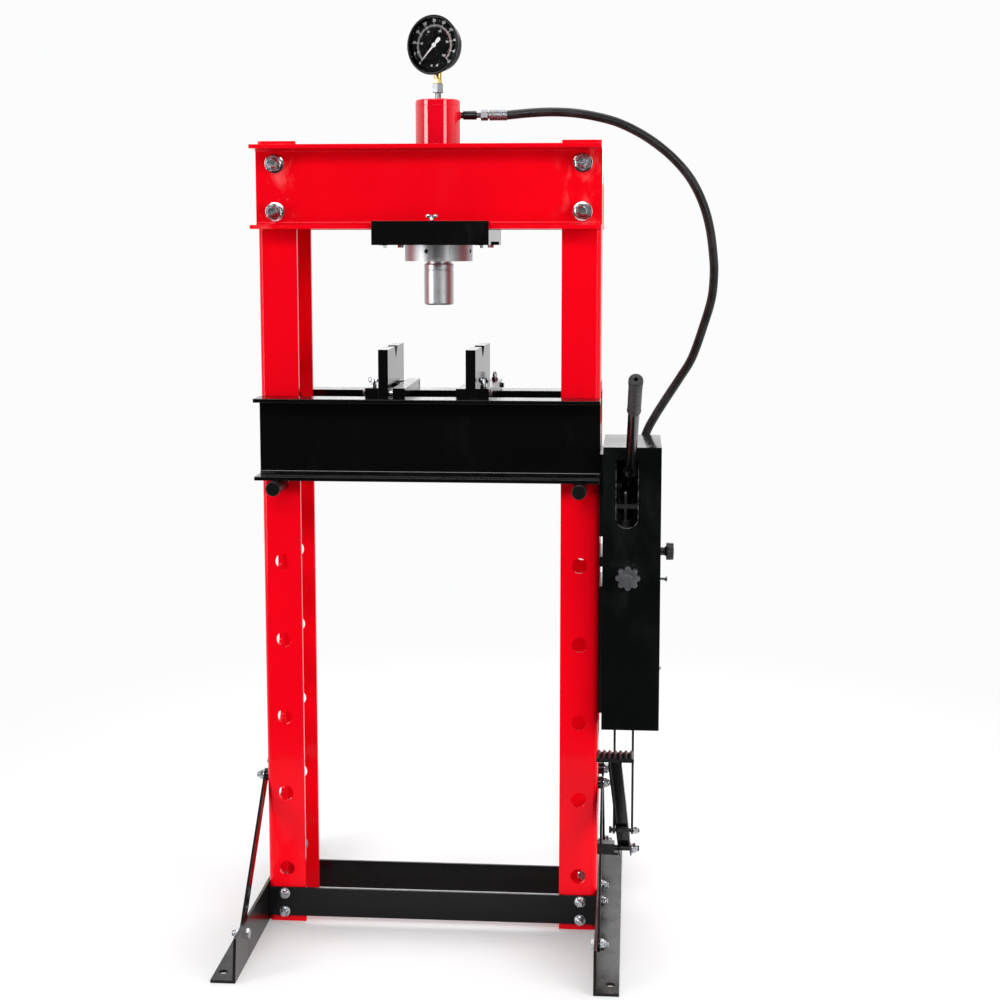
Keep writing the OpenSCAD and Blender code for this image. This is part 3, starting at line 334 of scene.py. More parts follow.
def clear_glass(name):
    """Thin window glass, barely smudged."""
    m = Mat(name)
    smudge = m.range(m.noise(35.0, 5.0, 0.6), 0.45, 0.8)
    m.set(Base_Color=(0.97, 0.99, 1.0, 1), Roughness=m.range(smudge, 0, 1, 0.0, 0.05),
          Transmission_Weight=1.0, IOR=1.03, Specular_IOR_Level=0.12)
    return m.m


def ink(name, colour):
    """Silk-screened ink: slightly uneven in thickness."""
    m = Mat(name)
    n = m.noise(900.0, 3.0)
    m.set(Base_Color=m.mix(m.range(n, 0.35, 0.75), colour, tuple(c * 0.8 for c in colour)),
          Roughness=m.range(n, 0.3, 0.7, 0.45, 0.6), Normal=m.bump(n, 0.00005, 0.3),
          Specular_IOR_Level=0.05)
    return m.m


RED, RED_DEEP, RED_WORN = (0.78, 0.0012, 0.008), (0.62, 0.0010, 0.007), (0.86, 0.30, 0.30)
RED_SHINE = (1.0, 0.18, 0.24)
# the casing's slot, for the painted highlight along its edge: its middle x, the height of its round end's
# centre, its half width and its top
SLOT_HIGHLIGHT = (0.406, 0.888, 0.022, 0.990)
# the head's bolts: distance from the middle, height, the washers' radius and the scuffs' reach
HEAD_SCUFFS = tuple((0.312, z, 0.026, 0.070) for z in (1.503, 1.600))

M = {
    "red": paint("red", RED, RED_DEEP, RED_WORN, coat=0.10, rough=0.14, chips=0.35,
                 shine=RED_SHINE, gleam=0.40),
    "red_head": paint("red_head", RED, RED_DEEP, RED_WORN, coat=0.10, rough=0.14, chips=0.45,
                      scuff_at=HEAD_SCUFFS, shine=RED_SHINE, gleam=0.40),
    "red_gloss": paint("red_gloss", (0.70, 0.0008, 0.013), (0.56, 0.0007, 0.011), RED_WORN, coat=0.90,
                       rough=0.10, peel=0.4, shine=RED_SHINE, gleam=0.10, lacquer=1.75),
    "black": paint("black", (0.0022, 0.0023, 0.0024), (0.0014, 0.0014, 0.0015), (0.14, 0.13, 0.12),
                   coat=0.08, rough=0.15, chips=0.5, dust=0.03, gleam=0.35),
    # the casing: besides its wear, a painted highlight along its slot's edge
    "casing": paint("casing", (0.0026, 0.0029, 0.0030), (0.0018, 0.0019, 0.0020), (0.26, 0.25, 0.24),
                    coat=0.10, rough=0.09, chips=0.7, dust=0.03, peel=0.5, gleam=0.32, haze_by=0.022,
                    edge=SLOT_HIGHLIGHT),
    "low_black": paint("low_black", (0.0022, 0.0022, 0.0023), (0.0014, 0.0014, 0.0015),
                       (0.16, 0.14, 0.12), coat=0.0, rough=0.20, chips=0.7, dust=0.06, gleam=0.22),
    "feet": paint("feet", (0.0050, 0.0045, 0.0042), (0.013, 0.0090, 0.0066), (0.26, 0.20, 0.15),
                  coat=0.0, rough=0.22, chips=0.7, dust=0.10, gleam=0.18),
    "black_satin": paint("black_satin", (0.0040, 0.0040, 0.0044), (0.003, 0.003, 0.003),
                         (0.22, 0.22, 0.22), coat=0.05, rough=0.28, chips=0.6, dust=0.04, gleam=0.35),
    "gauge_black": paint("gauge_black", (0.0025, 0.0035, 0.0035), (0.002, 0.0025, 0.0025),
                         (0.1, 0.1, 0.1), coat=0.05, rough=0.26, peel=0.5, gleam=0.12),
    "tank": paint("tank", (0.40, 0.002, 0.006), (0.3, 0.001, 0.005), RED_WORN, coat=0.1, rough=0.4,
                  chips=0.4, shine=RED_SHINE),
    "zinc": zinc("zinc", (0.56, 0.57, 0.59), (0.15, 0.28)),
    "zinc_dull": zinc("zinc_dull", (0.30, 0.31, 0.32), (0.34, 0.48)),
    "steel": turned("steel", (0.47, 0.48, 0.50), rough=(0.36, 0.48)),
    "steel_dark": turned("steel_dark", (0.13, 0.13, 0.135), (0.06, 0.06, 0.06), rough=(0.34, 0.46)),
    "steel_ring": turned("steel_ring", (0.48, 0.49, 0.51), rough=(0.42, 0.56)),
    "brass": yellow_brass("brass"),
    "hose": rubber("hose", (0.0042, 0.0042, 0.0046), 0.36, wrapped=True),
    "grip": rubber("grip", (0.012, 0.012, 0.013), 0.48, grain=1.4),
    "knob_grey": plastic("knob_grey", (0.045, 0.047, 0.050), 0.36),
    "knob_black": plastic("knob_black", (0.010, 0.010, 0.011), 0.30),
    "cast": cast("cast", (0.020, 0.020, 0.022), 0.42),
    "dial": ink("dial", (0.0022, 0.0022, 0.0026)),
    "white_ink": ink("white_ink", (0.66, 0.66, 0.66)),
    "red_ink": ink("red_ink", (0.62, 0.05, 0.05)),
    "needle": ink("needle", (0.92, 0.92, 0.92)),
    "glass": clear_glass("glass"),
}

# the pull rods' cross bolt is black, its lock nut zinc plated: the nut's place tells them apart
ROD_NUT_X = (0.4262, 0.4357)


def rods_with_nut():
    m = M["black_satin"].copy()
    m.name = "rods"
    new, join = m.node_tree.nodes.new, m.node_tree.links.new
    bsdf = m.node_tree.nodes["Principled BSDF"]
    xyz = new("ShaderNodeSeparateXYZ")
    join(m.node_tree.nodes["Texture Coordinate"].outputs["Object"], xyz.inputs[0])
    inside = new("ShaderNodeMath")
    inside.operation = "COMPARE"
    join(xyz.outputs["X"], inside.inputs[0])
    inside.inputs[1].default_value = sum(ROD_NUT_X) / 2
    inside.inputs[2].default_value = (ROD_NUT_X[1] - ROD_NUT_X[0]) / 2
    colour = new("ShaderNodeMix")
    colour.data_type = "RGBA"
    join(inside.outputs[0], colour.inputs[0])
    join(bsdf.inputs["Base Color"].links[0].from_socket, colour.inputs[6])
    colour.inputs[7].default_value = (0.50, 0.51, 0.53, 1)
    join(colour.outputs[2], bsdf.inputs["Base Color"])
    join(inside.outputs[0], bsdf.inputs["Metallic"])
    return m


M["rods"] = rods_with_nut()


# ---- mesh writing

def turns(n):
    """The angles of n equal steps round a circle."""
    return [TAU * j / n for j in range(n)]


def circle(r, z, n):
    return [(r * math.cos(t), r * math.sin(t), z) for t in turns(n)]


def mm(pairs):
    """A profile written in millimetres, in metres."""
    return [(a * MM, b * MM) for a, b in pairs]


class Mesh:
    """Vertices, faces and the faces' material numbers, collected from parts, in metres."""

    def __init__(self):
        self.v, self.f, self.k, self.uv = [], [], [], None

    def add(self, verts, faces, matrix=None, k=0):
        verts = [Vector(v) for v in verts]
        if matrix is not None:
            verts = [matrix @ v for v in verts]
        n = len(self.v)
        self.v += verts
        flip = matrix is not None and matrix.determinant() < 0
        self.f += [[n + i for i in (reversed(f) if flip else f)] for f in faces]
        self.k += [k] * len(faces)
        return self

    def rings(self, rows, matrix=None, closed=False, k=0):
        """Skins rows of points, each a closed loop of equal length."""
        n = len(rows[0])
        verts = [p for row in rows for p in row]
        faces = []
        for i in range(len(rows) - (0 if closed else 1)):
            a, b = i * n, ((i + 1) % len(rows)) * n
            faces += [[a + j, a + (j + 1) % n, b + (j + 1) % n, b + j] for j in range(n)]
        if not closed:
            faces.append([n - 1 - j for j in range(n)])
            faces.append([(len(rows) - 1) * n + j for j in range(n)])
        return self.add(verts, faces, matrix, k)

    def lathe(self, profile, matrix=None, sides=64, k=0):
        """Turns [(radius, z)] round +Z. A closed ring has its last point equal to its first."""
        closed = profile[0] == profile[-1]
        pts = profile[:-1] if closed else profile
        return self.rings([circle(max(r, 1e-5), z, sides) for r, z in pts], matrix, closed, k)

    def build(self, name, body, mats, slot, smooth=32):
        me = bpy.data.meshes.new(name)
        me.from_pydata(self.v, [], self.f)
        bm = bmesh.new()
        bm.from_mesh(me)
        bmesh.ops.recalc_face_normals(bm, faces=bm.faces)
        bm.to_mesh(me)
        bm.free()
        if self.uv:
            layer = me.uv_layers.new(name="along")
            for poly in me.polygons:
                uvs = [self.uv[me.loops[i].vertex_index] for i in poly.loop_indices]
                top = max(c[1] for c in uvs)
                for i, c in zip(poly.loop_indices, uvs):
                    layer.data[i].uv = (c[0], c[1] + 1 if top - c[1] > 0.5 else c[1])
        for m in mats if isinstance(mats, (list, tuple)) else [mats]:
            me.materials.append(M[m])
        me.polygons.foreach_set("material_index", self.k)
        me.polygons.foreach_set("use_smooth", [True] * len(me.polygons))
        me.set_sharp_from_angle(angle=math.radians(smooth))
        ob = bpy.data.objects.new(name, me)
        bpy.context.scene.collection.objects.link(ob)
        if body:
            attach(ob, body)
        return ob


def at(x, y, z):
    return Matrix.Translation((x, y, z))


def facing(direction):
    """Turns +Z to a direction."""
    return Vector(direction).normalized().to_track_quat("Z", "Y").to_matrix().to_4x4()


FLIP_Z = Matrix.Diagonal((1, 1, -1, 1))


def hex_rows(af, z0, z1, top=True, bottom=False):
    """Rings of a hexagonal prism whose corners are chamfered by a cone at its ends."""
    a = af / 2
    flat, corner = 0.95 * a, a / math.cos(math.pi / 6)
    depth = (corner - flat) * math.tan(math.pi / 6)
    steps = [0, 0.25, 0.5, 0.75, 1]
    zs = sorted({z0, z1} | ({z1 - depth * s for s in steps} if top else set())
                | ({z0 + depth * s for s in steps} if bottom else set()))
    rows = []
    for z in zs:
        row = []
        for t in turns(72):
            r = a / math.cos((t + math.pi / 6) % (math.pi / 3) - math.pi / 6)
            if top:
                r = min(r, flat + (z1 - z) / math.tan(math.pi / 6))
            if bottom:
                r = min(r, flat + (z - z0) / math.tan(math.pi / 6))
            row.append((r * math.cos(t), r * math.sin(t), z))
        rows.append(row)
    return rows


def hexagon(mesh, af, z0, z1, matrix):
    """A hexagonal prism chamfered at both ends."""
    mesh.rings(hex_rows(af, z0, z1, top=True, bottom=True), matrix)


def ring_rows(d_out, d_in, z0, z1, edge):
    """The closed section of a washer or collar with rounded outer edges."""
    ro, ri = d_out / 2, d_in / 2
    return [(ri, z0), (ro - edge, z0), (ro - 0.3 * edge, z0 + 0.3 * edge), (ro, z0 + edge), (ro, z1 - edge),
            (ro - 0.3 * edge, z1 - 0.3 * edge), (ro - edge, z1), (ri + edge, z1), (ri, z1 - edge), (ri, z0)]


def thread_rows(d, pitch, z0, z1):
    """A helical thread that runs out in a chamfer at z1."""
    sides, rings_per_turn = 36, 4
    n = max(3, int((z1 - z0) / pitch * rings_per_turn))
    rows = []
    for i in range(n + 1):
        z = z0 + (z1 - z0) * i / n
        row = []
        for j, t in enumerate(turns(sides)):
            phase = (z / pitch - j / sides) % 1
            r = d / 2 - 0.30 * pitch * abs(2 * phase - 1) * 2
            r = min(r, d / 2 - 0.8 * pitch + (z1 - z))
            row.append((r * math.cos(t), r * math.sin(t), z))
        rows.append(row)
    return rows


Screw = namedtuple("Screw", "shank across head washer washer_h pitch")
M20, M12, M8 = (Screw(*(size * MM for size in sizes)) for sizes in (
    (20, 30, 13, 39, 3, 2.5), (12, 19, 8, 24, 2.5, 1.75), (8, 13, 6, 16, 1.6, 1.25)))
# how far a lock nut's collar stands over a plain nut's height
COLLAR_H = 0.002


def add_bolt(mesh, screw, length, matrix, plain):
    """A bolt with its seat at z = 0, its head below and its thread from plain to length."""
    r = screw.shank / 2
    mesh.rings(hex_rows(screw.across, 0.0, screw.head), matrix @ FLIP_Z)
    mesh.lathe([(0, 0), (r, 0), (r, plain + 0.0006), (r - 0.0004, plain + 0.001), (0, plain + 0.001)],
               matrix, 36)
    mesh.rings(thread_rows(screw.shank, screw.pitch, plain, length), matrix)


def add_nut(mesh, screw, matrix):
    """A lock nut on its washer, which stands on z = 0."""
    base, hole, collar = screw.washer_h, screw.shank / 2, 0.86 * screw.across / 2
    mesh.lathe(ring_rows(screw.washer, screw.shank, 0, base, 0.0005), matrix, 48)
    hexagon(mesh, screw.across, base, base + screw.head - COLLAR_H, matrix)
    top = base + screw.head + COLLAR_H
    mesh.lathe([(hole, top - 0.004), (collar, top - 0.0045), (collar, top - 0.0018),
                (collar - 0.0004, top - 0.0006), (collar - 0.0012, top), (hole + 0.0012, top),
                (hole + 0.0003, top - 0.0006), (hole, top - 0.004)], matrix, 48)


# ---- CAD nodes with eased edges

def soften(node, material, width):
    """Keeps the CAD node: its material and modifiers that ease its edges by width."""
    ob = NODES[node]
    me = ob.data
    me.materials.clear()
    me.materials.append(M[material])
    if "custom_normal" in me.attributes:
        me.attributes.remove(me.attributes["custom_normal"])
    me.polygons.foreach_set("use_smooth", [True] * len(me.polygons))
    weld = ob.modifiers.new("weld", "WELD")
    weld.merge_threshold = 2e-6
    flat = ob.modifiers.new("planar", "DECIMATE")
    flat.decimate_type = "DISSOLVE"
    flat.angle_limit = math.radians(0.6)
    if width:
        bevel = ob.modifiers.new("ease", "BEVEL")
        bevel.limit_method = "ANGLE"
        bevel.angle_limit = math.radians(35)
        bevel.width = width
        bevel.segments = 2
        bevel.use_clamp_overlap = True
        bevel.miter_outer = "MITER_SHARP"
    weighted = ob.modifiers.new("normals", "WEIGHTED_NORMAL")
    weighted.keep_sharp = True
    weighted.weight = 80


for names, material, width in [
    ("upright_left upright_right", "red", 0.0008),
    ("head_beam_front head_beam_rear", "red_head", 0.0010),
    ("brace_front brace_rear", "low_black", 0.0006),
    ("foot_left foot_right", "feet", 0.0006),
    ("diagonals", "black", 0.0005),
    ("bed_beam_front bed_beam_rear", "black", 0.0010),
    ("bed_ties", "black", 0.0005),
    ("bed_pin_left bed_pin_right", "black_satin", 0.0004),
    ("slide_plate slide_hooks", "black", 0.0007),
    ("v_plate_left v_plate_right v_bars_left v_bars_right", "black", 0.0008),
    ("cylinder_tube cylinder_head", "red_gloss", 0.0006),
    ("lock_ring", "steel_ring", 0.0007),
    ("ram ram_piston ram_cap", "steel", 0.0004),
    ("plunger", "steel_dark", 0.0004),
    ("casing", "casing", 0.0016),
    ("casing_mounts", "black_satin", 0.0005),
    ("pump_body", "cast", 0.0010),
    ("pump_tank", "tank", 0.0015),
    ("pedal_bracket", "black_satin", 0.0008),
    ("pedal_arm", "black", 0.0006),
    ("pedal_tread", "black_satin", 0.0006),
    ("pull_rods", "rods", 0.0003),
    ("lever_socket lever_tube", "black", 0.0006),
    ("gauge_dial", "dial", 0.0),
    ("gauge_glass", "glass", 0.0003),
]:
    for node_name in names.split():
        soften(node_name, material, width)


# ---- hose

ROUTE = [(x * MM, y * MM, z * MM) for x, y, z in [
    (155, 0, 1700), (200, 0, 1704), (245, 3, 1706), (290, 7, 1704), (335, 11, 1697), (380, 18, 1685),
    (425, 25, 1664), (465, 33, 1638), (500, 41, 1608), (532, 51, 1570), (557, 61, 1522), (573, 72, 1468),
    (582, 84, 1404), (583, 92, 1364), (579, 100, 1322), (565, 108, 1270), (541, 118, 1198),
    (515, 124, 1153), (488, 129, 1110), (466, 132, 1074), (448, 135, 1040), (437, 137, 1004),
    (432, 137, 960), (432, 137, 900)]]
HOSE_D = 18.5 * MM
HOSE_STEPS, HOSE_SIDES = 8, 28


def smooth_path(points, steps):
    """Catmull-Rom points through the route."""
    p = [np.array(q) for q in points]
    p = [2 * p[0] - p[1]] + p + [2 * p[-1] - p[-2]]
    out = []
    for i in range(1, len(p) - 2):
        a, b, c, d = p[i - 1:i + 3]
        for k in range(steps + (i == len(p) - 3)):
            t = k / steps
            out.append(0.5 * (2 * b + (c - a) * t + (2 * a - 5 * b + 4 * c - d) * t ** 2
                              + (3 * b - a - 3 * c + d) * t ** 3))
    return out


def tube_along(path, radius, sides, first, last):
    """A mesh tube whose rings stay square to the path, with uv in metres along and turns round."""
    mesh = Mesh()
    n = len(path)
    between = [path[i + 1] - path[i - 1] for i in range(1, n - 1)]
    dirs = [np.array(first, float)] + between + [np.array(last, float)]
    rows, uv, s = [], [], 0.0
    for i, (p, d) in enumerate(zip(path, dirs)):
        d = d / np.linalg.norm(d)
        side = np.cross(d, (0, 1, 0))
        side /= np.linalg.norm(side)
        up = np.cross(side, d)
        if i:
            s += float(np.linalg.norm(path[i] - path[i - 1]))
        rows.append([tuple(p + radius * (math.cos(t) * side + math.sin(t) * up)) for t in turns(sides)])
        uv += [(s, j / sides) for j in range(sides)]
    mesh.rings(rows)
    mesh.uv = uv
    return mesh, s


hose_path = smooth_path(ROUTE, HOSE_STEPS)
hose_mesh, hose_length = tube_along(hose_path, HOSE_D / 2, HOSE_SIDES, (1, 0, 0), (0, 0, -1))
hose = hose_mesh.build("hydraulic_hose", None, "hose", "hose_rubber", smooth=60)
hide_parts("hose")
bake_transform(hose)


# ---- hose fittings

def ferrule(mesh, d, z0, z1, matrix):
    """A crimped sleeve with rounded ends and pressed rings."""
    r, grooves = d / 2, 5
    pts = [(0, z0), (r - 0.0022, z0), (r - 0.0006, z0 + 0.0006), (r, z0 + 0.002)]
    span = z1 - z0 - 0.010
    for i in range(grooves):
        z = z0 + 0.005 + span * (i + 0.5) / grooves
        pts += [(r, z - 0.0016), (r - 0.0005, z - 0.0008), (r - 0.0005, z + 0.0008), (r, z + 0.0016)]
    pts += [(r, z1 - 0.0025), (r - 0.0007, z1 - 0.0007), (r - 0.0022, z1), (0, z1)]
    mesh.lathe(pts, matrix, 48)


cyl_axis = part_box("cylinder_tube")
CYL_X = (cyl_axis[0].x + cyl_axis[1].x) / 2
PORT_Z = 1.700
along_x = at(CYL_X, 0, PORT_Z) @ facing((1, 0, 0))

port = Mesh().lathe(mm([(0, 45), (6.5, 45), (6.5, 51), (7.8, 51.4), (8.7, 52.4), (9, 54), (9, 58),
                        (8.6, 58.4), (8.6, 59.2), (9, 59.6), (9, 77), (8.7, 78.6), (7.8, 79.6), (6.6, 80),
                        (0, 80)]), along_x, 48)
port_ob = port.build("quick_coupler", "carriage", "black_satin", "black_paint")
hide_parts("cylinder_port")

fit = Mesh()
fit.rings(thread_rows(0.012, 0.0014, 0.0800, 0.0885), along_x)
hexagon(fit, 0.019, 0.088, 0.103, along_x)
fit.lathe(mm([(0, 102.5), (6.2, 102.5), (7, 103.3), (7, 106), (0, 106)]), along_x, 36)
ferrule(fit, 0.022, 0.1055, ROUTE[0][0] - CYL_X, along_x)
hose_fit = fit.build("hose_fitting_upper", "carriage", "zinc_dull", "zinc_plate")
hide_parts("hose_end_cylinder")

END = ROUTE[-1]
# the elbow block's height, and half its width to its faces and to its eased corners
ELBOW_Z, HALF, EASED = 0.846, 0.010, 0.008
elbow = Mesh()
down = at(END[0], END[1], ELBOW_Z)
ferrule(elbow, 0.022, 0.022, END[2] - ELBOW_Z, down)
hexagon(elbow, 0.0205, 0.010, 0.0215, down)
elbow.rings([[(x, y, z) for x, y in [(-HALF, -EASED), (-EASED, -HALF), (EASED, -HALF), (HALF, -EASED),
                                     (HALF, EASED), (EASED, HALF), (-EASED, HALF), (-HALF, EASED)]]
             for z in (-HALF, HALF)], down)
back = at(END[0], END[1] - HALF, ELBOW_Z) @ facing((0, -1, 0))
reach = END[1] - 0.010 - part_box("pump_body")[1].y
elbow.lathe([(0, 0), (0.007, 0), (0.007, 0.004), (0.0062, 0.0045), (0.0062, reach), (0, reach)], back, 36)
hexagon(elbow, 0.019, reach - 0.014, reach, back)
low_fit = elbow.build("hose_fitting_lower", "frame", "zinc", "zinc_plate")
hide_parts("hose_end_pump")


# ---- bolts and nuts

def islands(node):
    """The boxes of a CAD node's separate solids, as (low, high) pairs."""
    bm = bmesh.new()
    bm.from_mesh(NODES[node].data)
    bmesh.ops.remove_doubles(bm, verts=bm.verts, dist=2e-6)
    left, found = set(bm.verts), []
    while left:
        stack, part = [left.pop()], []
        while stack:
            v = stack.pop()
            part.append(v.co.copy())
            for e in v.link_edges:
                w = e.other_vert(v)
                if w in left:
                    left.remove(w)
                    stack.append(w)
        found.append((Vector(map(min, *part)), Vector(map(max, *part))))
    bm.free()
    return sorted(found, key=lambda b: tuple(round(c, 4) for c in (b[0] + b[1]) / 2))


def seat_of(low, high, axis, depth):
    """The seat of a fastener in a box, depth in from its inner end, and the way it points: outward."""
    seat, way = (low + high) / 2, Vector((0, 0, 0))
    way[axis] = 1 if seat[axis] > 0 else -1
    seat[axis] = low[axis] + depth if way[axis] > 0 else high[axis] - depth
    return at(*seat) @ facing(way)


def bolts_like(node, name, body, screw, plain):
    """Detailed bolts where the CAD node has plain ones: the head inside, the thread outside."""
    mesh = Mesh()
    for low, high in islands(node):
        size = high - low
        axis = max(range(3), key=lambda i: size[i])
        add_bolt(mesh, screw, size[axis] - screw.head, seat_of(low, high, axis, screw.head), plain)
    ob = mesh.build(name, body, "zinc", "zinc_plate", smooth=28)
    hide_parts(node)


def nuts_like(node, name, body, screw):
    """Detailed lock nuts and washers where the CAD node has plain ones, each turned differently."""
    mesh = Mesh()
    height = screw.washer_h + screw.head + COLLAR_H
    for low, high in islands(node):
        size = high - low
        axis = min(range(3), key=lambda i: abs(size[i] - height))
        spin = Matrix.Rotation(math.radians(37 * len(mesh.v) % 60), 4, "Z")
        add_nut(mesh, screw, seat_of(low, high, axis, 0.0) @ spin)
    ob = mesh.build(name, body, "zinc", "zinc_plate", smooth=28)
    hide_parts(node)


bolts_like("head_bolts", "head_bolt_set", "frame", M20, 0.014)
nuts_like("head_nuts", "head_nut_set", "frame", M20)
bolts_like("frame_bolts", "frame_bolt_set", "frame", M12, 0.009)
nuts_like("frame_nuts", "frame_nut_set", "frame", M12)

slide = Mesh()
for low, high in islands("slide_bolts"):
    mid = (low + high) / 2
    seat = at(mid.x, mid.y, low.z + M8.head)
    add_bolt(slide, M8, high.z - low.z - M8.head, seat, 0.004)
    slide.lathe(ring_rows(0.0155, M8.shank, -0.0012, 0.0, 0.0004), seat, 36)
slide_ob = slide.build("slide_bolt_set", "carriage", "zinc", "zinc_plate", smooth=28)
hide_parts("slide_bolts")


# ---- wing screws

def ear(mesh, centre, radii, tilt, matrix):
    """A flattened, rounded wing."""
    bands, rows = 14, []
    for i in range(1, bands):
        lat = math.pi * i / bands - math.pi / 2
        rows.append([(radii[0] * math.cos(lat) * math.cos(t), radii[1] * math.cos(lat) * math.sin(t),
                      radii[2] * math.sin(lat)) for t in turns(20)])
    mesh.rings(rows, matrix @ at(*centre) @ Matrix.Rotation(tilt, 4, "Y"))


def wing_top(mesh, matrix, k=1.0, tilt=0.42):
    """The hub and two wings of a cast wing screw, k times the usual size."""
    hub = mm([(0, 0), (4.6, 0), (5, 0.8), (4.2, 9.5), (3.4, 10.8), (0, 11.4)])
    mesh.lathe([(r * k, z * k) for r, z in hub], matrix, 36)
    for side in (-1, 1):
        ear(mesh, (side * 0.0074 * k, 0, 0.0086 * k), (0.0046 * k, 0.0015 * k, 0.0054 * k),
            side * tilt, matrix)


# the V-blocks' fasteners: a flat head's height, a sleeve's length, a wing screw's hexagon and its top
FLAT_HEAD, SLEEVE, WING_HEX, WING_H = 0.005, 0.010, 0.006, 0.020


def screws(node, name, body, way, yaw):
    """The V-block's clamp bolts, sleeves and wing screws; way is the work side, yaw the block's turn."""
    mesh = Mesh()
    inward = Vector((way * math.cos(yaw), way * math.sin(yaw), 0))
    for low, high in islands(node):
        size, mid = high - low, (low + high) / 2
        if size.x > 0.035:
            length = size.x - M8.across * abs(math.sin(yaw)) - FLAT_HEAD
            base = at(*(mid - inward * (length - FLAT_HEAD) / 2)) @ facing(inward)
            mesh.rings(hex_rows(M8.across, 0.0, FLAT_HEAD), base @ FLIP_Z)
            mesh.rings(thread_rows(M8.shank, M8.pitch, 0.0, length), base)
        elif size.z > WING_H:
            base = at(mid.x, mid.y, low.z)
            seat = size.z - WING_H
            mesh.rings(thread_rows(M8.shank, M8.pitch, 0.0, seat + 0.001), base)
            hexagon(mesh, M8.across, seat, seat + WING_HEX, base)
            wing_top(mesh, base @ at(0, 0, seat + WING_HEX) @ Matrix.Rotation(0.5 + mid.y * 9, 4, "Z"))
        else:
            mesh.lathe(ring_rows(0.016, 0.0082, 0, SLEEVE, 0.0005),
                       at(*(mid - inward * SLEEVE / 2)) @ facing(inward), 36)
    ob = mesh.build(name, body, "zinc", "zinc_plate", smooth=30)
    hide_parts(node)


screws("v_screws_left", "v_block_screws_left", "v_left", 1, math.radians(0.6))
screws("v_screws_right", "v_block_screws_right", "v_right", -1, math.radians(-1.65))

c_low, c_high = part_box("clamp_screw")
cx, cy = (c_low.x + c_high.x) / 2, (c_low.y + c_high.y) / 2
clamp = Mesh().rings(thread_rows(M8.shank, M8.pitch, 0.0, 0.0105), at(cx, cy, c_low.z))
wing_top(clamp, at(cx, cy, c_low.z + 0.009), 0.92, 1.25)
clamp_ob = clamp.build("clamp_wing_screw", "clamp", "zinc", "zinc_plate", smooth=30)
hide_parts("clamp_screw")

cas = Mesh()
OUT, IN = facing((1, 0, 0)), facing((-1, 0, 0))
for low, high in islands("casing_screws"):
    size, mid = high - low, (low + high) / 2
    if mid.x < 0.40:
        # through the upright
        seat = at(high.x - M8.head, mid.y, mid.z)
        add_bolt(cas, M8, size.x - M8.head, seat @ IN, 0.003)
    elif size.x > 0.008:
        # an M6 screw in the casing's side
        seat = at(high.x - FLAT_HEAD, mid.y, mid.z)
        cas.rings(thread_rows(0.006, 0.001, 0.0, size.x - FLAT_HEAD), seat @ IN)
        cas.rings(hex_rows(0.010, 0.0, FLAT_HEAD), seat @ OUT)
    else:
        # a rivet's dome
        cas.lathe(mm([(0, 0), (4.5, 0), (4.5, 1.2), (4, 2.6), (2.6, 3.7), (1.2, 4), (0, 4)]),
                  at(low.x, mid.y, mid.z) @ OUT, 32)
cas_ob = cas.build("casing_screw_set", "frame", "zinc", "zinc_plate", smooth=30)
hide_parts("casing_screws")


# ---- return spring

top_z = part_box("ram_spring")[1].z
low_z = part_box("ram_spring")[0].z
# the wire's thickness, the coil's radius and turns, and the rings in a turn
WIRE, COIL_R, TURNS, PER_TURN = 0.004, 0.012, 30, 16
UP = np.array((0, 0, 1))
rows = []
for i in range(TURNS * PER_TURN + 1):
    a = TAU * i / PER_TURN
    out = np.array((math.cos(a), math.sin(a), 0))
    z = low_z + WIRE / 2 + (top_z - low_z - WIRE) * i / (TURNS * PER_TURN)
    centre = np.array((CYL_X, 0, z)) + COIL_R * out
    rows.append([tuple(centre + WIRE / 2 * (math.cos(t) * out + math.sin(t) * UP)) for t in turns(8)])
coil = Mesh().rings(rows)
coil_ob = coil.build("return_spring_coil", None, "steel", "machined_steel", smooth=60)
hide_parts("ram_spring")
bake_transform(coil_ob)


# ---- pressure gauge

# the gauge's height, its turn to the left, and its bezel's foot before the cylinder's axis
G_Z, G_TURN, BEZEL_Z = 1.840, math.radians(24), 0.012
at_gauge = at(CYL_X, 0, G_Z) @ Matrix.Rotation(-G_TURN, 4, "Z") @ Matrix.Rotation(math.pi / 2, 4, "X")

outline = mm([(0, -24), (44, -24), (48.5, -23.2), (51.3, -20.5), (52, -17), (52, -1.6), (53.2, -0.4),
              (56.2, 0.1), (57, 1), (57, 7.2), (58.8, 7.8), (59.7, 8.6), (60, 9.7), (59.7, 10.9),
              (58.8, 11.7), (57, 12), (55.6, 11.8), (55.1, 11), (55.1, 1.2), (0, 1.2)])
case = Mesh().lathe([(r, BEZEL_Z + z) for r, z in outline], at_gauge, 128)
case_ob = case.build("gauge_housing", "carriage", "gauge_black", "gauge_case_paint", smooth=40)
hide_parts("gauge_case")

# the dial's face, how thick the ink lies on it, and how much its radii shrink to fit the bezel
DIAL_Z, INK, DIAL_K = BEZEL_Z + 0.0023, 0.00012, 0.0548 / 0.0570
START, SWEEP = math.radians(225), math.radians(-270)


def on_dial(share, radius):
    """The point at a share of the scale and a radius."""
    a = START + SWEEP * share
    return Vector((radius * DIAL_K * math.cos(a), radius * DIAL_K * math.sin(a), DIAL_Z + INK))


def tick(mesh, share, r0, r1, width):
    a = START + SWEEP * share
    side = Vector((-math.sin(a), math.cos(a), 0)) * width / 2
    p, q = on_dial(share, r0), on_dial(share, r1)
    mesh.add([p - side, q - side, q + side, p + side], [[0, 1, 2, 3]], at_gauge)


def arc(mesh, s0, s1, r0, r1, k=0):
    """A thin band between two shares of the scale; k 1 is red."""
    n = 80
    verts = [on_dial(s0 + (s1 - s0) * i / n, r) for i in range(n + 1) for r in (r0, r1)]
    mesh.add(verts, [[2 * i, 2 * i + 1, 2 * i + 3, 2 * i + 2] for i in range(n)], at_gauge, k)


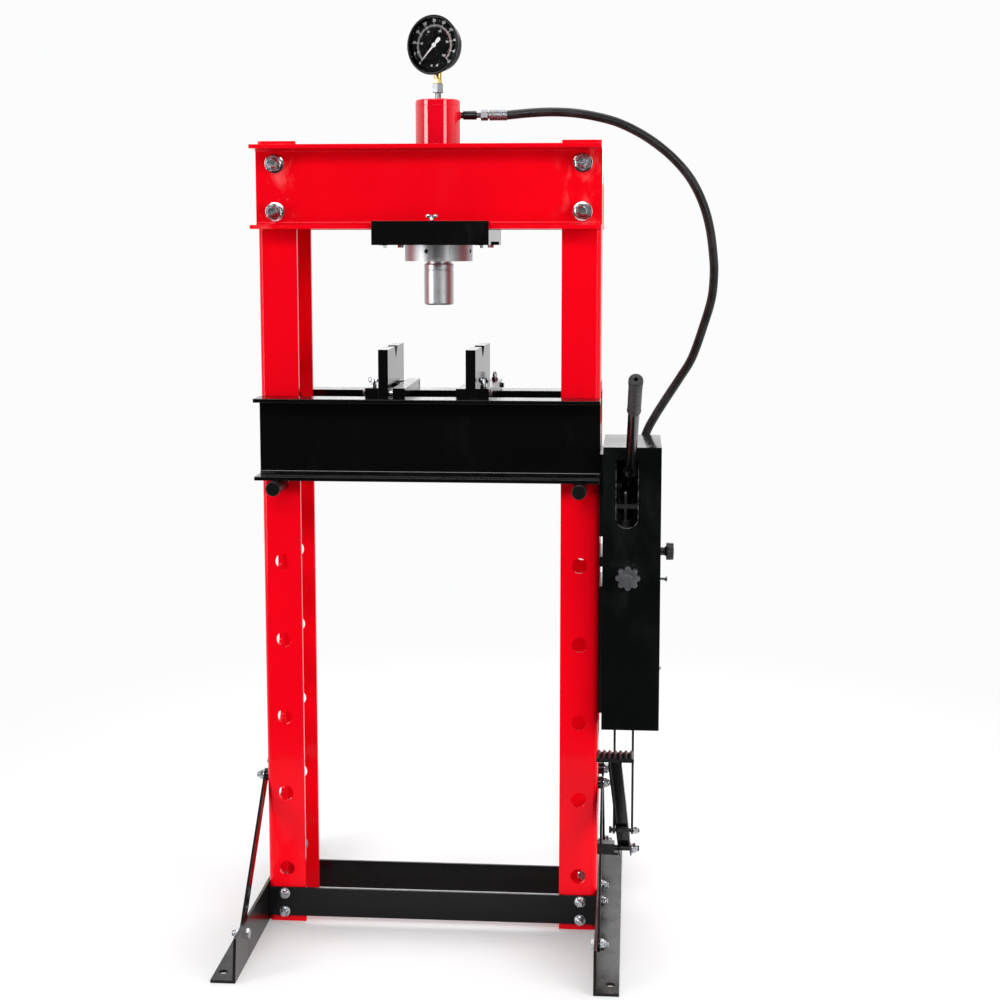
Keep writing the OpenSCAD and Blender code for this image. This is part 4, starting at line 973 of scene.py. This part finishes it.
marks = Mesh()
for i in range(101):
    major, mid5 = i % 10 == 0, i % 5 == 0
    tick(marks, i / 100, 0.0405, 0.0458 if major else 0.0442 if mid5 else 0.0430, 0.0011 if major else 0.0005)
    if i % 2 == 0:
        tick(marks, i / 100, 0.0364 if major else 0.0376, 0.0392, 0.0009 if major else 0.00045)
arc(marks, 0, 1, 0.0399, 0.0405)
arc(marks, 0.62, 1, 0.0392, 0.0399, 1)


def digits(text, centre, height, mesh):
    """Plain scale numbers as flat shapes."""
    curve = bpy.data.curves.new("digits", "FONT")
    curve.body, curve.size, curve.align_x, curve.align_y = text, height, "CENTER", "CENTER"
    curve.resolution_u, curve.offset = 3, 0.00014
    text_ob = bpy.data.objects.new("digits", curve)
    bpy.context.scene.collection.objects.link(text_ob)
    bpy.context.view_layer.update()
    flat = text_ob.evaluated_get(bpy.context.evaluated_depsgraph_get()).to_mesh()
    mesh.add([v.co + centre for v in flat.vertices], [list(p.vertices) for p in flat.polygons], at_gauge)
    bpy.data.objects.remove(text_ob)
    bpy.data.curves.remove(curve)


for i in range(11):
    digits(str(i * 5), on_dial(i / 10, 0.0506), 0.0076, marks)
    if i % 2 == 0:
        digits(str(i * 10), on_dial(i / 10, 0.0318), 0.0056, marks)
# the two small screws that hold the dial
for side in (-1, 1):
    ring = [(side * 0.0065 + x, -0.0405 + y) for x, y, _ in circle(0.0021, 0, 24)]
    marks.rings([[(x, y, DIAL_Z + lift) for x, y in ring] for lift in (-0.0002, 0.0007)], at_gauge)
marks_ob = marks.build("gauge_scale", "carriage", ["white_ink", "red_ink"], "dial_face")
marks_ob.data.shade_flat()

needle = Mesh()
turn = at_gauge @ at(0, 0, DIAL_Z + 0.0019) @ Matrix.Rotation(START, 4, "Z")
half = mm([(30, 0.8), (6, 1.7), (-7.5, 1.9), (-9.5, 3.6), (-17.8, 3.8)])
shape = [(0.0438, 0.0)] + half + [(-0.0205, 0.0)] + [(x, -y) for x, y in reversed(half)]
needle.rings([[(x * k, y * k, z) for x, y in shape] for z, k in
              ((0.0, 0.985), (0.0002, 1.0), (0.0007, 1.0), (0.0010, 0.96))], turn)
needle.lathe(mm([(0, -2.8), (2, -2.8), (2, -0.2), (4, 0), (4.6, 0.3), (4.6, 1.4), (4, 2), (2.6, 2.3),
                 (2.3, 2.7), (1.6, 3), (0, 3.1)]), turn, 40)
needle_ob = needle.build("gauge_pointer", "needle", "needle", "needle_white", smooth=30)
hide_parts("gauge_needle")

CYL_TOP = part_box("cylinder_head")[1].z
stem = Mesh()
base = at(CYL_X, 0, CYL_TOP)
stem.lathe(mm([(0, 0), (6.5, 0), (6.5, 13), (7.2, 13.7), (7.2, 15), (0, 15)]), base, 40)
hexagon(stem, 0.0220, 0.0148, 0.0325, base)
stem.lathe(mm([(0, 32.2), (9, 32.2), (9, 33), (0, 33)]), base, 40)
stem_ob = stem.build("gauge_coupling", "carriage", "zinc_dull", "zinc_plate", smooth=30)
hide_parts("gauge_stem")
brass_part = Mesh()
hexagon(brass_part, 0.0190, 0.033, 0.042, base)
top_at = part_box("gauge_adapter")[1].z - CYL_TOP
brass_part.lathe([(0, 0.0415), (0.0074, 0.0415), (0.0074, 0.0430), (0.0085, 0.0436),
                  (0.0085, top_at - 0.0006), (0.0080, top_at), (0, top_at)], base, 40)
brass_ob = brass_part.build("gauge_brass_adapter", "carriage", "brass", "brass", smooth=30)
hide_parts("gauge_adapter")


# ---- knobs and grip

def star_knob(mesh, matrix, radius, height, lobes, depth):
    """A moulded knob with rounded lobes, an eased rim and a dished face."""
    def row(scale, z):
        pts = []
        for t in turns(160):
            r = radius - depth * ((1 - math.cos(lobes * t)) / 2) ** 1.7
            pts.append((r * scale * math.cos(t), r * scale * math.sin(t), z))
        return pts
    mesh.rings([row(0.90, 0), row(0.965, 0.0004), row(1.0, 0.0018), row(1.0, height * 0.55),
                row(0.992, height - 0.0028), row(0.965, height - 0.0012), row(0.92, height - 0.0003),
                row(0.84, height), row(0.6, height - 0.0004), row(0.44, height - 0.0009)], matrix)
    mesh.lathe([(0, height - 0.0012), (radius * 0.40, height - 0.0012), (radius * 0.40, height),
                (radius * 0.36, height + 0.0005), (0, height + 0.0007)], matrix, 48)


def spindle(name, body, length, ease, matrix):
    """A valve's steel spindle with its inner end eased."""
    mesh = Mesh().lathe([(0, 0), (0.0040, 0), (0.0050, ease), (0.0050, length), (0, length)], matrix, 36)
    mesh.build(name, body, "steel", "machined_steel", smooth=35)


r_low, r_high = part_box("release_knob")
rx, rz = (r_low.x + r_high.x) / 2, (r_low.z + r_high.z) / 2
KNOB_Y = -0.132
FACE = at(rx, KNOB_Y, rz) @ facing((0, -1, 0))
rel = Mesh()
star_knob(rel, FACE, 0.0250, 0.0175, 8, 0.0058)
rel.lathe(mm([(0, -6.2), (7.8, -6.2), (8.8, -5), (10.5, 0.2), (0, 0.2)]), FACE, 40)
rel_ob = rel.build("release_star_knob", "release_valve", "knob_grey", "knob_plastic", smooth=35)
spindle("release_spindle", "release_valve", abs(r_high.y - KNOB_Y) - 0.006, 0.0012,
        at(rx, r_high.y, rz) @ facing((0, -1, 0)))
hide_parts("release_knob")

s_low, s_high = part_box("side_knob")
sy, sz = (s_low.y + s_high.y) / 2, (s_low.z + s_high.z) / 2
side = Mesh()
knob_at = at(s_high.x - 0.016, sy, sz) @ OUT
star_knob(side, knob_at, 0.0178, 0.0153, 10, 0.0024)
side.lathe(mm([(0, -18), (9, -18), (9.5, -17.2), (9.5, -12.5), (8.5, -11.8), (8.5, -3.5), (11.2, 0.2),
               (0, 0.2)]), knob_at, 48)
side_ob = side.build("side_valve_knob", "side_valve", "knob_black", "knob_plastic", smooth=35)
spindle("side_valve_spindle", "side_valve", s_high.x - 0.033 - s_low.x, 0.001, at(s_low.x, sy, sz) @ OUT)
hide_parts("side_knob")

# the lever at rest: its pivot, then its lean from upright and its small tilt to the side
LEVER = (at(0.410, -0.040, 0.941) @ Matrix.Rotation(math.radians(90 - 32), 4, "X")
         @ Matrix.Rotation(math.radians(1.3), 4, "Y"))
# the lever's end from its pivot, the grip's length, radius and sides, and the bore of its end
LEVER_END, GRIP_L, GRIP_R, GRIP_SIDES, GRIP_BORE = 0.480, 0.128, 0.0128, 64, 0.0111
start = LEVER_END - GRIP_L
rows = []
for i in range(121):
    t = i / 120
    ridge = 0.5 - 0.5 * math.cos(TAU * 5 * min(1, max(0, (t - 0.10) / 0.72)))
    row = []
    for a in turns(GRIP_SIDES):
        r = GRIP_R + 0.0006 * ridge * (0.35 + 0.65 * max(0.0, -math.sin(a)))
        if t < 0.05:
            r += 0.0008 * math.sin(math.pi * t / 0.05)
        if t > 0.86:
            r = min(0.014, r + 0.0009)
        r *= math.sqrt(1 - 0.45 * max(0.0, (t - 0.955) / 0.045) ** 2)
        row.append((r * math.cos(a), r * math.sin(a), start + GRIP_L * t))
    rows.append(row)
for r, z in [(0.0040, LEVER_END), (0.0040, LEVER_END - 0.004), (GRIP_BORE, LEVER_END - 0.005),
             (GRIP_BORE, start)]:
    rows.append(circle(r, z, GRIP_SIDES))
grip = Mesh().rings(rows, LEVER, closed=True)
grip_ob = grip.build("lever_rubber_grip", "lever", "grip", "grip_rubber", smooth=40)
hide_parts("lever_grip")


# ---- light and floor

PALE = (0.97, 0.972, 0.975)
# the floor's ellipse: centre x, centre y, half width, half depth
FLOOR = (0.1, 0.7, 2.2, 2.0)


def studio():
    """A pale room: dark to the front and bright behind, soft boxes, and a floor that fades into it."""
    scene = bpy.context.scene
    scene.view_settings.view_transform = "Standard"
    scene.view_settings.look = "None"
    world = bpy.data.worlds.new("studio")
    scene.world = world
    world.use_nodes = True
    world.node_tree.nodes.clear()
    new, join = world.node_tree.nodes.new, world.node_tree.links.new
    out = new("ShaderNodeOutputWorld")
    seen, lit = new("ShaderNodeBackground"), new("ShaderNodeBackground")
    seen.inputs["Color"].default_value = (*PALE, 1)
    lit.inputs["Color"].default_value = (1.0, 1.0, 1.0, 1)
    split = new("ShaderNodeSeparateXYZ")
    join(new("ShaderNodeTexCoord").outputs["Generated"], split.inputs[0])
    shade = new("ShaderNodeMapRange")
    shade.interpolation_type = "SMOOTHSTEP"
    for key, v in (("From Min", -0.75), ("From Max", 0.25), ("To Min", 0.02), ("To Max", 0.90)):
        shade.inputs[key].default_value = v
    join(split.outputs["Y"], shade.inputs["Value"])
    join(shade.outputs[0], lit.inputs["Strength"])
    mix = new("ShaderNodeMixShader")
    join(new("ShaderNodeLightPath").outputs["Is Camera Ray"], mix.inputs[0])
    join(lit.outputs[0], mix.inputs[1])
    join(seen.outputs[0], mix.inputs[2])
    join(mix.outputs[0], out.inputs[0])

    def area(name, place, target, size, power):
        light = bpy.data.lights.new(name, "AREA")
        light.shape = "RECTANGLE"
        light.size, light.size_y = size
        light.energy = power
        ob = bpy.data.objects.new(name, light)
        ob.location = place
        ob.rotation_euler = (Vector(target) - Vector(place)).to_track_quat("-Z", "Y").to_euler()
        scene.collection.objects.link(ob)
        return ob

    area("strip_left", (-3.4, -2.2, 1.5), (0, 0, 1.1), (1.3, 3.0), 92)
    area("strip_right", (2.7, -3.2, 1.6), (0, 0, 1.1), (1.0, 3.0), 48)
    area("key", (-0.6, -4.4, 3.2), (0, 0, 0.9), (2.6, 1.1), 92)
    area("top", (0.2, 0.2, 4.4), (0, 0, 0.8), (3.0, 2.4), 45)
    area("rim", (0.5, 3.4, 2.6), (0, 0, 1.0), (3.4, 2.0), 60)
    # soft fill from the right, kept out of the mirror-like steel and glossy paint
    fill = area("fill_right", (3.6, -2.0, 1.6), (0, 0, 1.1), (1.8, 2.4), 98)
    fill.visible_glossy = False

    floor_mat = Mat("floor")
    n = floor_mat.noise(2.5, 3.0)
    white = floor_mat.mix(floor_mat.range(n, 0.3, 0.7), (0.80, 0.805, 0.81), (0.785, 0.79, 0.795))
    floor_mat.set(Base_Color=white, Roughness=floor_mat.range(n, 0.3, 0.7, 0.6, 0.7))
    x, y, _ = floor_mat.split(floor_mat.coord)
    far = floor_mat.length(*(floor_mat.math("DIVIDE", floor_mat.minus(axis, c), r)
                             for axis, c, r in ((x, FLOOR[0], FLOOR[2]), (y, FLOOR[1], FLOOR[3]))))
    glow = floor_mat.t.nodes.new("ShaderNodeEmission")
    glow.inputs["Color"].default_value = (*PALE, 1)
    fade = floor_mat.t.nodes.new("ShaderNodeMixShader")
    floor_mat.link(floor_mat.range(far, 0.30, 0.95), fade.inputs[0])
    floor_mat.link(floor_mat.bsdf.outputs[0], fade.inputs[1])
    floor_mat.link(glow.outputs[0], fade.inputs[2])
    floor_mat.link(fade.outputs[0], floor_mat.out.inputs[0])
    me = bpy.data.meshes.new("floor")
    me.from_pydata([(FLOOR[0] + FLOOR[2] * math.cos(t), FLOOR[1] + FLOOR[3] * math.sin(t), -0.0004)
                    for t in turns(96)], [], [list(range(96))])
    me.materials.append(floor_mat.m)
    floor = bpy.data.objects.new("floor", me)
    scene.collection.objects.link(floor)


studio()
bpy.context.view_layer.update()
